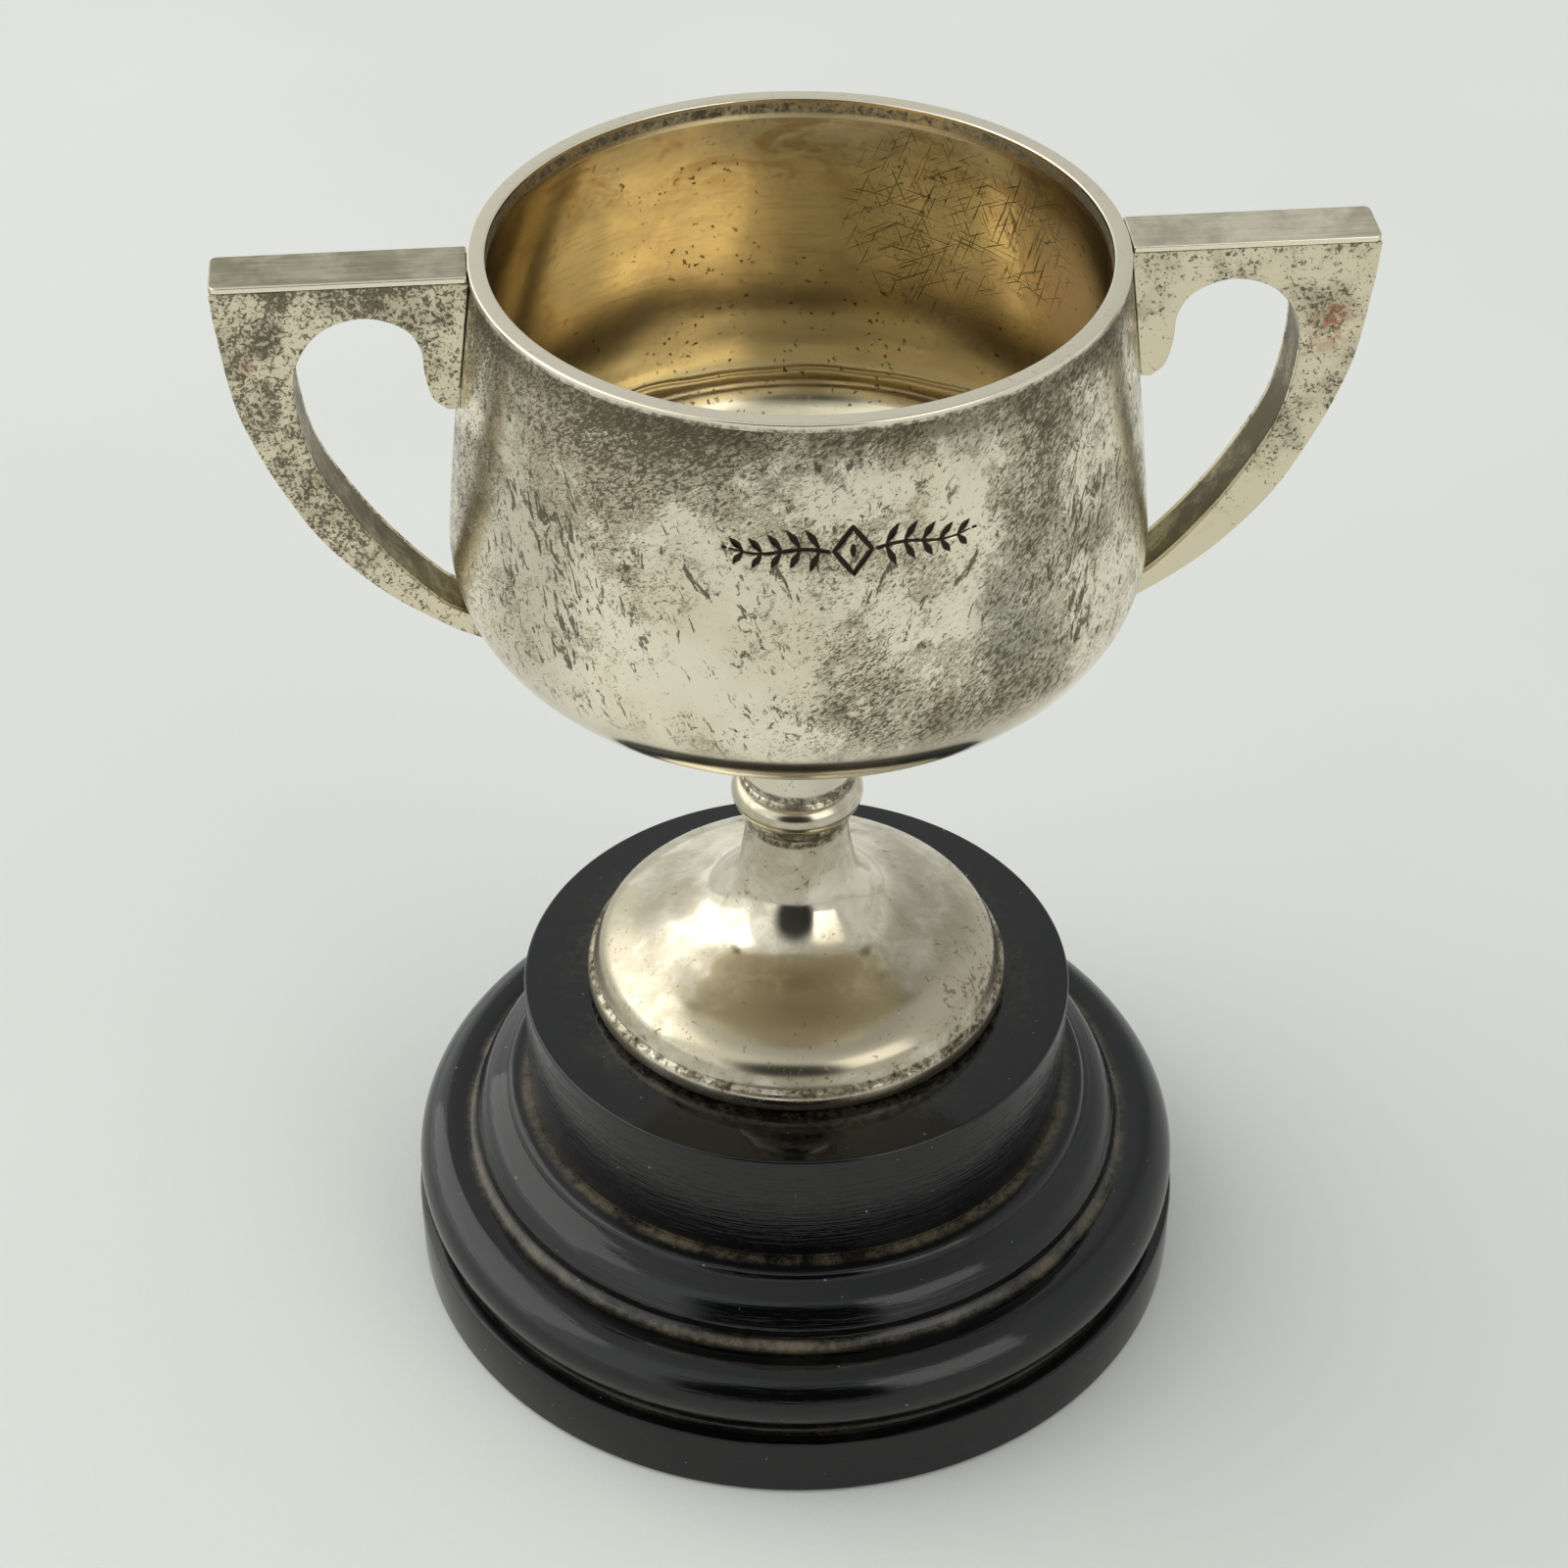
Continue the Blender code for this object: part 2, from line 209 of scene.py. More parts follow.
class Surface:
    """A node material whose patterns are placed in millimetres in the trophy's own frame."""

    def __init__(self, name):
        self.material = bpy.data.materials.new(name)
        self.material.use_nodes = True
        self.tree = self.material.node_tree
        self.shader = self.tree.nodes["Principled BSDF"]
        place = self.node("ShaderNodeTexCoord").outputs["Object"]
        scaled = self.node("ShaderNodeVectorMath", {"operation": "SCALE"}, Vector=place, Scale=1 / MM)
        self.place = scaled.outputs["Vector"]
        split = self.node("ShaderNodeSeparateXYZ", Vector=self.place)
        self.x = split.outputs["X"]
        self.y = split.outputs["Y"]
        self.z = split.outputs["Z"]
        self.radius = self.math("SQRT", self.math(
            "ADD", self.math("MULTIPLY", self.x, self.x), self.math("MULTIPLY", self.y, self.y)))
        # Angle round the axis, from the engraved front towards the right-hand handle
        turn = self.math("ARCTAN2", self.x, self.math("MULTIPLY", self.y, -1))
        self.angle = self.math("DEGREES", turn)

    def node(self, kind, setup=None, **inputs):
        """New node; setup holds its settings, and the rest its inputs by name (_ for a space)."""
        made = self.tree.nodes.new(kind)
        for key, value in (setup or {}).items():
            setattr(made, key, value)
        for key, value in inputs.items():
            self.put(made.inputs[key.replace("_", " ")], value)
        return made

    def put(self, socket, value):
        """Links an output to the socket, or sets the socket to a plain value."""
        if isinstance(value, bpy.types.NodeSocket):
            self.tree.links.new(value, socket)
        elif isinstance(value, (tuple, list)) and len(value) == 3 and socket.type == "RGBA":
            socket.default_value = (*value, 1)
        else:
            socket.default_value = value

    def math(self, operation, a, b=0.0):
        made = self.node("ShaderNodeMath", {"operation": operation})
        self.put(made.inputs[0], a)
        self.put(made.inputs[1], b)
        return made.outputs[0]

    def stretched(self, size, spin=(0, 0, 0), place=None):
        """Coordinates in which one unit is this many millimetres along X, Y and Z."""
        made = self.node("ShaderNodeMapping", {"vector_type": "TEXTURE"},
                         Vector=place or self.place)
        made.inputs["Rotation"].default_value = [math.radians(a) for a in spin]
        made.inputs["Scale"].default_value = size
        return made.outputs[0]

    def wrapped(self, radius, size, spin=0.0, mirrored=False):
        """Coordinates laid round a cylinder: one unit is this many mm along, and up, the wall."""
        angle = self.math("ABSOLUTE", self.angle) if mirrored else self.angle
        along = self.math("MULTIPLY", angle, math.radians(1) * radius)
        unrolled = self.node("ShaderNodeCombineXYZ", X=along, Y=self.z, Z=0).outputs[0]
        return self.stretched((*size, 1), (0, 0, spin), unrolled)

    def coiled(self, across, along, lean):
        """Coordinates along helices that lean this many degrees to the right of upright."""
        turn = self.math("MULTIPLY", self.z, -math.tan(math.radians(lean)) / WALL_RADIUS)
        made = self.node("ShaderNodeVectorRotate", {"rotation_type": "Z_AXIS"},
                         Vector=self.place, Angle=turn)
        return self.stretched((across, across, along), place=made.outputs[0])

    def noise(self, place, detail, rough, distortion, shift, size=1.0):
        """Fractal noise from 0 to 1, in blotches of about `size`; shift picks another pattern."""
        made = self.node("ShaderNodeTexNoise", {"noise_dimensions": "4D"}, Vector=place, W=shift,
                         Scale=1 / size, Detail=detail, Roughness=rough, Distortion=distortion)
        return made.outputs[0]

    def ramp(self, value, low, high, start=0.0, end=1.0, kind="SMOOTHSTEP"):
        """Goes from start to end as the value goes from low to high, and no further."""
        made = self.node("ShaderNodeMapRange", {"interpolation_type": kind})
        for key, v in (("Value", value), ("From Min", low), ("From Max", high),
                       ("To Min", start), ("To Max", end)):
            self.put(made.inputs[key], v)
        return made.outputs[0]

    def band(self, value, low, high, soft):
        """One between low and high, fading to nothing over `soft` beyond them."""
        return self.math("MULTIPLY", self.ramp(value, low - soft, low),
                         self.ramp(value, high, high + soft, 1, 0))

    def near(self, value, middle, inner, outer):
        """One within `inner` of the middle, fading to nothing at `outer`."""
        far = self.math("ABSOLUTE", self.math("SUBTRACT", value, middle))
        return self.ramp(far, inner, outer, 1, 0)

    def patch(self, angle, height, width, tall):
        """Soft round patch on the wall: centre in degrees and mm, half sizes likewise."""
        a = self.math("DIVIDE", self.math("SUBTRACT", self.angle, angle), width)
        b = self.math("DIVIDE", self.math("SUBTRACT", self.z, height), tall)
        far = self.math("SQRT", self.math("ADD", self.math("MULTIPLY", a, a),
                                          self.math("MULTIPLY", b, b)))
        return self.ramp(far, 0.25, 1.25, 1, 0)

    def mix(self, share, a, b):
        """Colour between a and b."""
        made = self.node("ShaderNodeMix", {"data_type": "RGBA"})
        self.put(made.inputs[0], share)
        self.put(made.inputs[6], a)
        self.put(made.inputs[7], b)
        return made.outputs[2]

    def blend(self, share, a, b):
        """Number between a and b."""
        made = self.node("ShaderNodeMix", {"data_type": "FLOAT"})
        self.put(made.inputs[0], share)
        self.put(made.inputs[2], a)
        self.put(made.inputs[3], b)
        return made.outputs[0]

    def add(self, *values):
        total = values[0]
        for value in values[1:]:
            total = self.math("ADD", total, value)
        return total

    def times(self, *values):
        total = values[0]
        for value in values[1:]:
            total = self.math("MULTIPLY", total, value)
        return total

    def finish(self, colour, roughness, height, depth, metallic=0.0, **fixed):
        """Wires up the shader. One unit of height is a bump of `depth` mm."""
        self.put(self.shader.inputs["Base Color"], colour)
        self.put(self.shader.inputs["Roughness"], roughness)
        self.put(self.shader.inputs["Metallic"], metallic)
        for key, value in fixed.items():
            self.put(self.shader.inputs[key.replace("_", " ")], value)
        bump = self.node("ShaderNodeBump", Height=height, Distance=depth * MM, Strength=1.0)
        self.put(self.shader.inputs["Normal"], bump.outputs[0])
        return self.material


SILVER_LIGHT = (0.90, 0.835, 0.665)
SILVER_CREAM = (0.77, 0.695, 0.52)
SILVER_FILM = (0.345, 0.295, 0.205)
SILVER_DARK = (0.085, 0.068, 0.042)
SILVER_BLUE = (0.31, 0.33, 0.295)
GOLD = (0.80, 0.69, 0.465)


def bowl_silver():
    """Outside of the bowl: cream silver under grey-brown film, crumbs and worm-like stains, with
    painted shade on its right side and just under the rim.
    """
    s = Surface("tarnished_silver_bowl")
    broad = s.noise(s.place, 4, 0.55, 0.6, 1.0, 13.0)
    middle = s.noise(s.place, 5, 0.65, 0.8, 7.0, 4.5)
    rim_film = s.ramp(s.add(s.z, s.ramp(middle, 0.2, 0.8, -9, 9, "LINEAR")), 139.5, 148.5)
    # Where tarnish gathers; the patch at 34 degrees, on the right, is painted shade that thickens it
    tarnish_and_shade = s.add(s.ramp(broad, 0.30, 0.72, -0.30, 0.42), s.times(rim_film, 0.50),
                 s.times(s.patch(34, 134, 11, 18), 0.46),
                 s.times(s.patch(-35, 144, 22, 7), 0.30),
                 s.times(s.patch(14, 112, 30, 11), 0.30),
                 s.times(s.patch(19, 142.5, 14, 8), -0.50),
                 s.times(s.patch(-17, 123, 18, 13), -0.60),
                 s.times(s.patch(-52, 128, 15, 14), -0.20),
                 s.times(s.patch(-38, 112, 26, 9), -0.30))
    # Crumbs of tarnish a few tenths of a millimetre across, crowding where it is dirty and where
    # shade is painted on the right
    fine = s.noise(s.coiled(0.50, 0.50, 45), 6, 0.74, 0.7, 3.0)
    crumbs = s.ramp(s.add(fine, s.times(tarnish_and_shade, 0.13)), 0.566, 0.578)
    grain = s.noise(s.coiled(0.26, 0.28, 45), 4, 0.7, 0.0, 12.0)
    # The film ends in ragged edges
    ragged = s.noise(s.coiled(1.1, 1.0, 20), 10, 0.78, 0.5, 23.0, 4.2)
    film = s.ramp(s.add(ragged, s.times(tarnish_and_shade, 0.20), s.times(grain, 0.14)), 0.575, 0.603)
    haze = s.ramp(s.add(middle, s.times(tarnish_and_shade, 0.34), s.times(grain, 0.34)), 0.64, 0.96)
    # Worm-like stains a few millimetres long, in families near both handles
    flank = s.math("MAXIMUM", s.patch(-50, 126, 17, 17), s.patch(45, 124, 14, 17))
    worms_at = s.noise(s.wrapped(WALL_RADIUS, (2.3, 0.95), 66, True), 6, 0.74, 1.3, 5.0, 1.5)
    worms = s.ramp(s.add(worms_at, s.times(flank, 0.045)), 0.588, 0.598)
    spots = s.times(s.ramp(s.noise(s.place, 6, 0.78, 1.0, 15.0, 1.6), 0.575, 0.585),
                    s.ramp(s.noise(s.place, 2, 0.5, 0.3, 21.0, 9.0), 0.46, 0.53))
    worn = s.ramp(s.z, 106.5, 112.0)
    marks = s.math("MAXIMUM", s.times(crumbs, 0.80), s.times(worms, 0.85))
    marks = s.times(s.math("MAXIMUM", marks, s.times(spots, 0.80)), worn)
    film = s.times(film, worn)
    haze = s.times(haze, s.ramp(s.z, 104.0, 113.0, 0.12, 1))
    light = s.mix(s.ramp(broad, 0.35, 0.7), SILVER_LIGHT, SILVER_CREAM)
    light = s.mix(s.times(s.patch(-54, 128, 15, 26), 0.70), light, (0.50, 0.46, 0.35))
    colour = s.mix(s.times(haze, 0.46), light, SILVER_FILM)
    colour = s.mix(s.times(film, s.ramp(grain, 0.42, 0.58, 0.22, 0.88)), colour, SILVER_FILM)
    blue = s.times(s.patch(30, 121.5, 9, 9), s.ramp(middle, 0.3, 0.62, 0.35, 1))
    colour = s.mix(s.times(blue, 0.62), colour, SILVER_BLUE)
    colour = s.mix(s.times(rim_film, 0.30), colour, (0.27, 0.235, 0.175))
    # Dark band on the wall just under the rim wire: painted shadow of the rim, over ragged tarnish
    rim_shadow_and_tarnish = s.times(s.ramp(s.z, 145.2, 147.2), s.ramp(ragged, 0.42, 0.52, 0.25, 0.75))
    colour = s.mix(rim_shadow_and_tarnish, colour, (0.19, 0.16, 0.115))
    colour = s.mix(marks, colour, SILVER_DARK)
    bright = s.ramp(s.noise(s.coiled(0.14, 2.6, -58), 3, 0.6, 0.6, 33.0), 0.66, 0.70)
    colour = s.mix(s.times(bright, 0.30), colour, (0.90, 0.85, 0.70))
    colour = s.mix(s.ramp(s.z, 104.0, 101.0, 0, 0.85), colour, (0.66, 0.585, 0.45))
    cut = s.node("ShaderNodeAttribute", {"attribute_name": "engraved"}).outputs["Fac"]
    colour = s.mix(s.ramp(cut, 0.25, 0.75), colour, (0.035, 0.026, 0.018))
    rough = s.blend(haze, 0.21, 0.36)
    rough = s.blend(marks, rough, 0.55)
    rough = s.blend(s.ramp(s.z, 106, 112, 1, 0), rough, 0.13)
    rough = s.blend(s.ramp(s.z, 105, 102), rough, 0.50)
    scratches = s.noise(s.coiled(0.07, 3.0, 22), 2, 0.5, 0.2, 31.0)
    height = s.add(s.times(fine, 0.6), s.times(marks, -0.6), s.times(scratches, 0.25),
                   s.times(s.noise(s.place, 2, 0.5, 0.0, 41.0, 5.0), 1.6))
    return s.finish(colour, rough, height, 0.006, 1.0)


def gilt():
    """Worn gilding inside the bowl: brown and yellow clouds, crossing scratches and pits, with a
    painted reflection on the right and painted shade under the rim.
    """
    s = Surface("gilt_silver_inside")
    broad = s.noise(s.place, 5, 0.6, 0.5, 2.0, 11.0)
    streak = s.noise(s.stretched((6.0, 6.0, 0.6)), 5, 0.65, 0.5, 4.0)
    pits_at = s.ramp(s.noise(s.place, 2, 0.5, 0.0, 28.0, 8.0), 0.46, 0.58, 0.2, 1)
    pits = s.times(s.ramp(s.noise(s.place, 2, 0.5, 0.0, 8.0, 0.7), 0.635, 0.665), pits_at)
    # Families of scratches crossing on the back wall, right of the middle
    scored = s.math("MAXIMUM", s.patch(150, 133, 19, 15), s.patch(128, 136, 13, 10))
    hatch = 0.0
    for spin, length, broadness, seed in ((112, 5.0, 0.16, 15.0), (70, 4.2, 0.13, 16.0),
                                          (150, 4.6, 0.13, 17.0), (8, 5.5, 0.12, 18.0)):
        lines = s.noise(s.wrapped(38.0, (length, broadness), spin), 3, 0.5, 0.25, seed, 1.6)
        hatch = s.math("MAXIMUM", hatch, s.ramp(s.add(lines, s.times(scored, 0.03)), 0.635, 0.665))
    hatch = s.times(hatch, s.ramp(scored, 0.05, 0.45))
    colour = s.mix(s.ramp(broad, 0.38, 0.62), GOLD, (0.60, 0.51, 0.34))
    colour = s.mix(s.times(s.ramp(streak, 0.48, 0.68), 0.35), colour, (0.47, 0.37, 0.20))
    brown = s.ramp(s.noise(s.stretched((1.6, 1.6, 1)), 7, 0.72, 0.8, 61.0, 6.0), 0.50, 0.60)
    colour = s.mix(s.times(brown, s.ramp(s.z, 132, 145, 0.10, 0.62)), colour, (0.42, 0.26, 0.11))
    colour = s.mix(s.ramp(s.z, 122, 112, 0, 0.55), colour, (0.80, 0.74, 0.57))
    seam = s.band(s.z, 107.2, 108.4, 0.7)
    colour = s.mix(s.times(seam, s.ramp(streak, 0.35, 0.6), 0.35), colour, (0.42, 0.33, 0.18))
    # Bright orange patch on the right of the inner wall: a painted reflection of light, also made
    # rougher
    painted_glow = s.patch(117, 131, 15, 13)
    colour = s.mix(s.times(painted_glow, 0.8), colour, (0.88, 0.66, 0.36))
    # Darker just under the rim's inner collar: painted shade
    colour = s.mix(s.ramp(s.z, 146.2, 148.0, 0, 0.45), colour, (0.55, 0.47, 0.31))
    colour = s.mix(s.times(hatch, 0.80), colour, (0.15, 0.10, 0.045))
    colour = s.mix(s.times(pits, 0.85), colour, (0.12, 0.08, 0.035))
    rough = s.add(0.12, s.times(s.ramp(broad, 0.3, 0.75), 0.10), s.times(hatch, 0.2),
                  s.times(painted_glow, 0.40))
    height = s.add(s.times(hatch, -1.0), s.times(pits, -1.5), s.times(streak, 0.5),
                   s.times(s.noise(s.place, 2, 0.5, 0.0, 51.0, 8.0), 9.0))
    return s.finish(colour, rough, height, 0.008, 1.0)


def handle_silver(name, top_face=False, inner=False):
    """Handles: worm-like dark mottling over pale silver, thinning out down the arms."""
    s = Surface(name)
    broad = s.noise(s.place, 4, 0.6, 0.6, 2.0 + top_face + 2 * inner, 6.0)
    worm = s.noise(s.place, 5, 0.68, 1.2, 6.0, 0.80)
    crumbs = s.noise(s.place, 4, 0.7, 0.6, 9.0, 0.30)
    outward = s.math("ABSOLUTE", s.x)
    on_right = s.ramp(s.x, -1, 1, 0, 1, "LINEAR")
    if top_face:
        grain = s.noise(s.stretched((9.0, 0.35, 1.0)), 4, 0.6, 0.5, 3.0)
        veil = s.ramp(s.add(broad, s.times(grain, 0.5)), 0.55, 0.95)
        pale = s.mix(on_right, (0.57, 0.535, 0.385), (0.86, 0.80, 0.63))
        colour = s.mix(s.times(veil, s.blend(on_right, 1.0, 0.6)), pale, (0.31, 0.285, 0.195))
        colour = s.mix(s.times(s.ramp(worm, 0.60, 0.68), 0.35), colour, (0.30, 0.25, 0.20))
        edge = s.ramp(s.math("ABSOLUTE", s.y), 3.22, 3.36)
        colour = s.mix(edge, colour, SILVER_LIGHT)
        rough = s.add(0.30, s.times(veil, 0.12), s.times(edge, -0.15))
        height = s.add(grain, s.times(worm, 0.5))
        return s.finish(colour, rough, height, 0.012, 1.0)
    if inner:
        veil = s.ramp(s.add(broad, s.times(worm, 0.5)), 0.50, 0.85)
        colour = s.mix(veil, (0.40, 0.35, 0.22), (0.14, 0.115, 0.062))
        colour = s.mix(s.times(s.ramp(crumbs, 0.55, 0.65), 0.4), colour, (0.12, 0.10, 0.07))
        rough = s.add(0.26, s.times(veil, 0.15))
        return s.finish(colour, rough, s.add(worm, s.times(crumbs, 0.5)), 0.012, 1.0)
    # Share of dark: strong across the top, patchy down the left arm, thin down the right one
    heavy = s.add(s.times(s.ramp(s.z, 122, 139), s.blend(on_right, 0.26, 0.04)),
                  s.times(s.ramp(s.z, 136, 122), s.blend(on_right, 0.24, 0.0)),
                  s.ramp(broad, 0.32, 0.70, -0.18, 0.22),
                  s.times(s.ramp(s.z, 147.2, 148.2), 0.10),
                  s.times(s.ramp(outward, 45, 39), -0.10))
    clean = s.times(s.ramp(s.z, 122, 104), s.blend(on_right, 0.0, 0.55))
    heavy = s.math("SUBTRACT", heavy, clean)
    stains = s.add(s.times(worm, 0.70), s.times(crumbs, 0.30), s.times(heavy, 0.22))
    dark = s.ramp(stains, 0.564, 0.580)
    film = s.ramp(s.add(broad, s.times(heavy, 0.6)), 0.45, 0.95)
    colour = s.mix(s.times(film, 0.62), (0.78, 0.70, 0.52), (0.36, 0.31, 0.21))
    colour = s.mix(s.times(dark, s.ramp(crumbs, 0.35, 0.6, 0.55, 0.88)), colour, (0.11, 0.09, 0.06))
    # A reddish stain near the outer edge of each handle, the left one smaller
    copper_at = s.add(s.times(s.near(s.x, 59.5, 0.6, 3.2), s.near(s.z, 138.2, 0.6, 5.0)),
                      s.times(s.near(s.x, -61.0, 0.4, 1.6), s.near(s.z, 139.5, 0.6, 3.0), 0.7))
    copper = s.times(copper_at, s.ramp(s.noise(s.place, 3, 0.6, 0.8, 14.0, 1.7), 0.47, 0.60))
    colour = s.mix(s.times(copper, 0.75), colour, (0.42, 0.17, 0.09))
    rough = s.add(0.24, s.times(film, 0.10), s.times(dark, 0.22))
    height = s.add(s.times(dark, -1.0), s.times(worm, 0.9))
    return s.finish(colour, rough, height, 0.014, 1.0)


def polished_silver(name, grime_at, brushed=False):
    """Bright silver of the stem, foot and rim, yellowing near the foot's edge, grimy at joints.

    grime_at gives the lowest and highest point of each grimy ring.
    """
    s = Surface(name)
    broad = s.noise(s.place, 4, 0.6, 0.8, 3.0, 6.0)
    fine = s.noise(s.place, 5, 0.68, 0.8, 4.0, 1.0)
    around = s.noise(s.stretched((3.0, 3.0, 0.18)), 3, 0.6, 0.4, 5.0)
    outer = s.ramp(s.radius, 15, 26)
    neck = s.times(s.ramp(s.z, 58, 66), s.ramp(s.z, 70.8, 69.8))
    front = s.times(s.patch(2, 51, 52, 7), s.ramp(s.radius, 26.4, 24.5))
    veil = s.ramp(s.add(broad, s.times(outer, 0.12), s.times(neck, 0.22), s.times(front, 0.34),
                        s.times(s.patch(75, 50, 40, 8), 0.16),
                        s.times(s.patch(-100, 50, 48, 9), 0.17),
                        s.times(s.ramp(s.z, 76, 78), -0.24),
                        s.times(s.band(s.z, 70.6, 75.4, 0.4), 0.16),
                        s.times(fine, 0.25)), 0.50, 0.92)
    if brushed:
        colour = s.mix(s.times(veil, 0.35), (0.86, 0.79, 0.64), (0.62, 0.54, 0.37))
    else:
        colour = s.mix(s.times(veil, 0.85), (0.74, 0.69, 0.565), (0.43, 0.375, 0.265))
    edges = s.add(s.times(s.ramp(s.radius, 20, 26), 0.05), s.times(s.patch(70, 48, 35, 8), 0.04),
                  s.times(neck, 0.04), s.ramp(broad, 0.4, 0.7, -0.03, 0.05))
    flecks = s.times(s.ramp(s.add(fine, edges), 0.638, 0.665), 0.12 if brushed else 0.68)
    colour = s.mix(flecks, colour, (0.17, 0.14, 0.09))
    grime = 0.0
    for low, high in grime_at:
        ragged = s.ramp(s.add(fine, s.times(broad, 0.5)), 0.62, 0.86, 0.25, 1)
        grime = s.math("MAXIMUM", grime, s.times(s.band(s.z, low, high, 0.45), ragged))
    colour = s.mix(s.times(grime, 0.85), colour, SILVER_DARK)
    rough = s.add(0.085, s.times(veil, 0.14), s.times(flecks, 0.3), s.times(grime, 0.4))
    if brushed:
        rough = s.add(rough, 0.12)
    height = s.add(s.times(around, 0.5 if brushed else 0.2), s.times(broad, 1.4),
                   s.times(flecks, -0.4))
    return s.finish(colour, rough, height, 0.006, 1.0)


def lacquer():
    """Black lacquer over turned wood: soft brush waves, fine scratches, tan dust in the hollows."""
    s = Surface("ebonised_lacquer")
    grit = s.noise(s.place, 5, 0.75, 0.3, 2.0, 0.9)
    cloud = s.noise(s.place, 4, 0.6, 0.5, 3.0, 9.0)
    wipe = s.noise(s.stretched((9.0, 9.0, 0.35)), 3, 0.6, 0.8, 5.0)
    # Dust lies in the angle under the drum, in the cove, in the groove and round the foot
    corner = s.times(s.band(s.z, 25.9, 26.5, 0.5), s.band(s.radius, 35.0, 35.8, 1.1))
    cove = s.times(s.band(s.z, 18.4, 18.9, 0.7), s.band(s.radius, 42.6, 43.4, 1.2))
    groove = s.times(s.band(s.z, 9.0, 9.9, 0.25), s.band(s.radius, 48.0, 49.0, 0.3))
    deck = s.times(s.ramp(s.z, 42.3, 42.8), s.ramp(s.radius, 33.0, 26.0))
    lying = s.ramp(s.add(s.times(grit, 0.8), s.times(cloud, 1.1)), 0.72, 1.25, 0.03, 0.62)
    hollow = s.times(s.math("MAXIMUM", s.math("MAXIMUM", corner, s.times(cove, 0.9)),
                            s.times(groove, 0.2)), lying)
    normal = s.node("ShaderNodeNewGeometry").outputs["Normal"]
    facing_up = s.ramp(s.node("ShaderNodeSeparateXYZ", Vector=normal).outputs["Z"], 0.75, 1.0)
    powder = s.times(facing_up, s.ramp(s.add(grit, s.times(cloud, 0.8)), 0.85, 1.20, 0.0, 0.025))
    on_deck = s.ramp(s.add(grit, s.times(cloud, 0.5)), 0.62, 1.0)
    powder = s.add(powder, s.times(deck, on_deck, 0.17))
    dust = s.math("MINIMUM", s.add(hollow, powder), 1.0)
    motes = s.ramp(s.noise(s.place, 1, 0.5, 0.0, 19.0, 0.8), 0.77, 0.80)
    colour = s.mix(s.times(dust, 0.80), (0.0011, 0.0012, 0.0015), (0.30, 0.25, 0.16))
    colour = s.mix(s.times(motes, 0.35), colour, (0.45, 0.43, 0.36))
    scratch = s.noise(s.stretched((14.0, 14.0, 0.09)), 2, 0.5, 0.5, 7.0)
    rough = s.add(0.04, s.times(dust, 0.65), s.times(s.ramp(scratch, 0.62, 0.7), 0.08),
                  s.times(s.ramp(cloud, 0.4, 0.7), 0.03))
    height = s.add(s.times(wipe, 1.5), s.times(scratch, 0.12),
                   s.times(dust, s.ramp(grit, 0, 1), 2.2))
    return s.finish(colour, rough, height, 0.03, 0.0, IOR=1.48)


def baize_cloth():
    """Green felted wool."""
    s = Surface("green_baize")
    nap = s.noise(s.place, 6, 0.75, 0.6, 1.0, 0.35)
    cloud = s.noise(s.place, 3, 0.5, 0.3, 2.0, 11.0)
    fibre = s.noise(s.stretched((1.6, 0.12, 0.5), (0, 0, 35)), 3, 0.6, 1.2, 3.0)
    colour = s.mix(s.ramp(nap, 0.3, 0.7), (0.010, 0.055, 0.026), (0.030, 0.125, 0.060))
    colour = s.mix(s.times(s.ramp(cloud, 0.45, 0.7), 0.4), colour, (0.045, 0.10, 0.055))
    return s.finish(colour, 0.95, s.add(nap, fibre), 0.16, 0.0, Sheen_Weight=0.2,
                    Sheen_Roughness=0.5)


def fixing_metal(name, bright, dull, stain, seed):
    """Brass or steel of the hidden fixing, handled and slightly stained."""
    s = Surface(name)
    broad = s.noise(s.place, 4, 0.6, 0.6, seed, 3.0)
    turning = s.noise(s.stretched((4.0, 4.0, 0.10)), 2, 0.5, 0.2, seed + 1)
    spots = s.ramp(s.noise(s.place, 4, 0.7, 0.6, seed + 2, 0.9), 0.60, 0.66)
    colour = s.mix(s.ramp(broad, 0.35, 0.7), bright, dull)
    colour = s.mix(s.times(spots, 0.6), colour, stain)
    rough = s.add(0.26, s.times(s.ramp(broad, 0.3, 0.7), 0.16), s.times(spots, 0.2))
    return s.finish(colour, rough, s.add(turning, s.times(spots, -0.4)), 0.02, 1.0)


bowl_metal = bowl_silver()
gilt_metal = gilt()
side_metal = handle_silver("mottled_silver_sides")
top_metal = handle_silver("mottled_silver_top", top_face=True)
inner_metal = handle_silver("mottled_silver_inner", inner=True)
rim_metal = polished_silver("brushed_silver_rim", ((147.9, 148.75),), brushed=True)
stem_metal = polished_silver("polished_silver_stem", ((68.9, 70.9), (75.4, 76.6), (91.8, 93.4)))
foot_metal = polished_silver("polished_silver_foot", ((43.0, 43.9), (45.8, 46.25), (68.6, 69.8)))
black = lacquer()
cloth = baize_cloth()
brass = fixing_metal("aged_brass", (0.76, 0.57, 0.27), (0.55, 0.39, 0.17), (0.20, 0.13, 0.06), 1.0)
steel = fixing_metal("plain_steel", (0.60, 0.60, 0.60), (0.42, 0.41, 0.40), (0.24, 0.14, 0.08), 5.0)


# ---- bowl

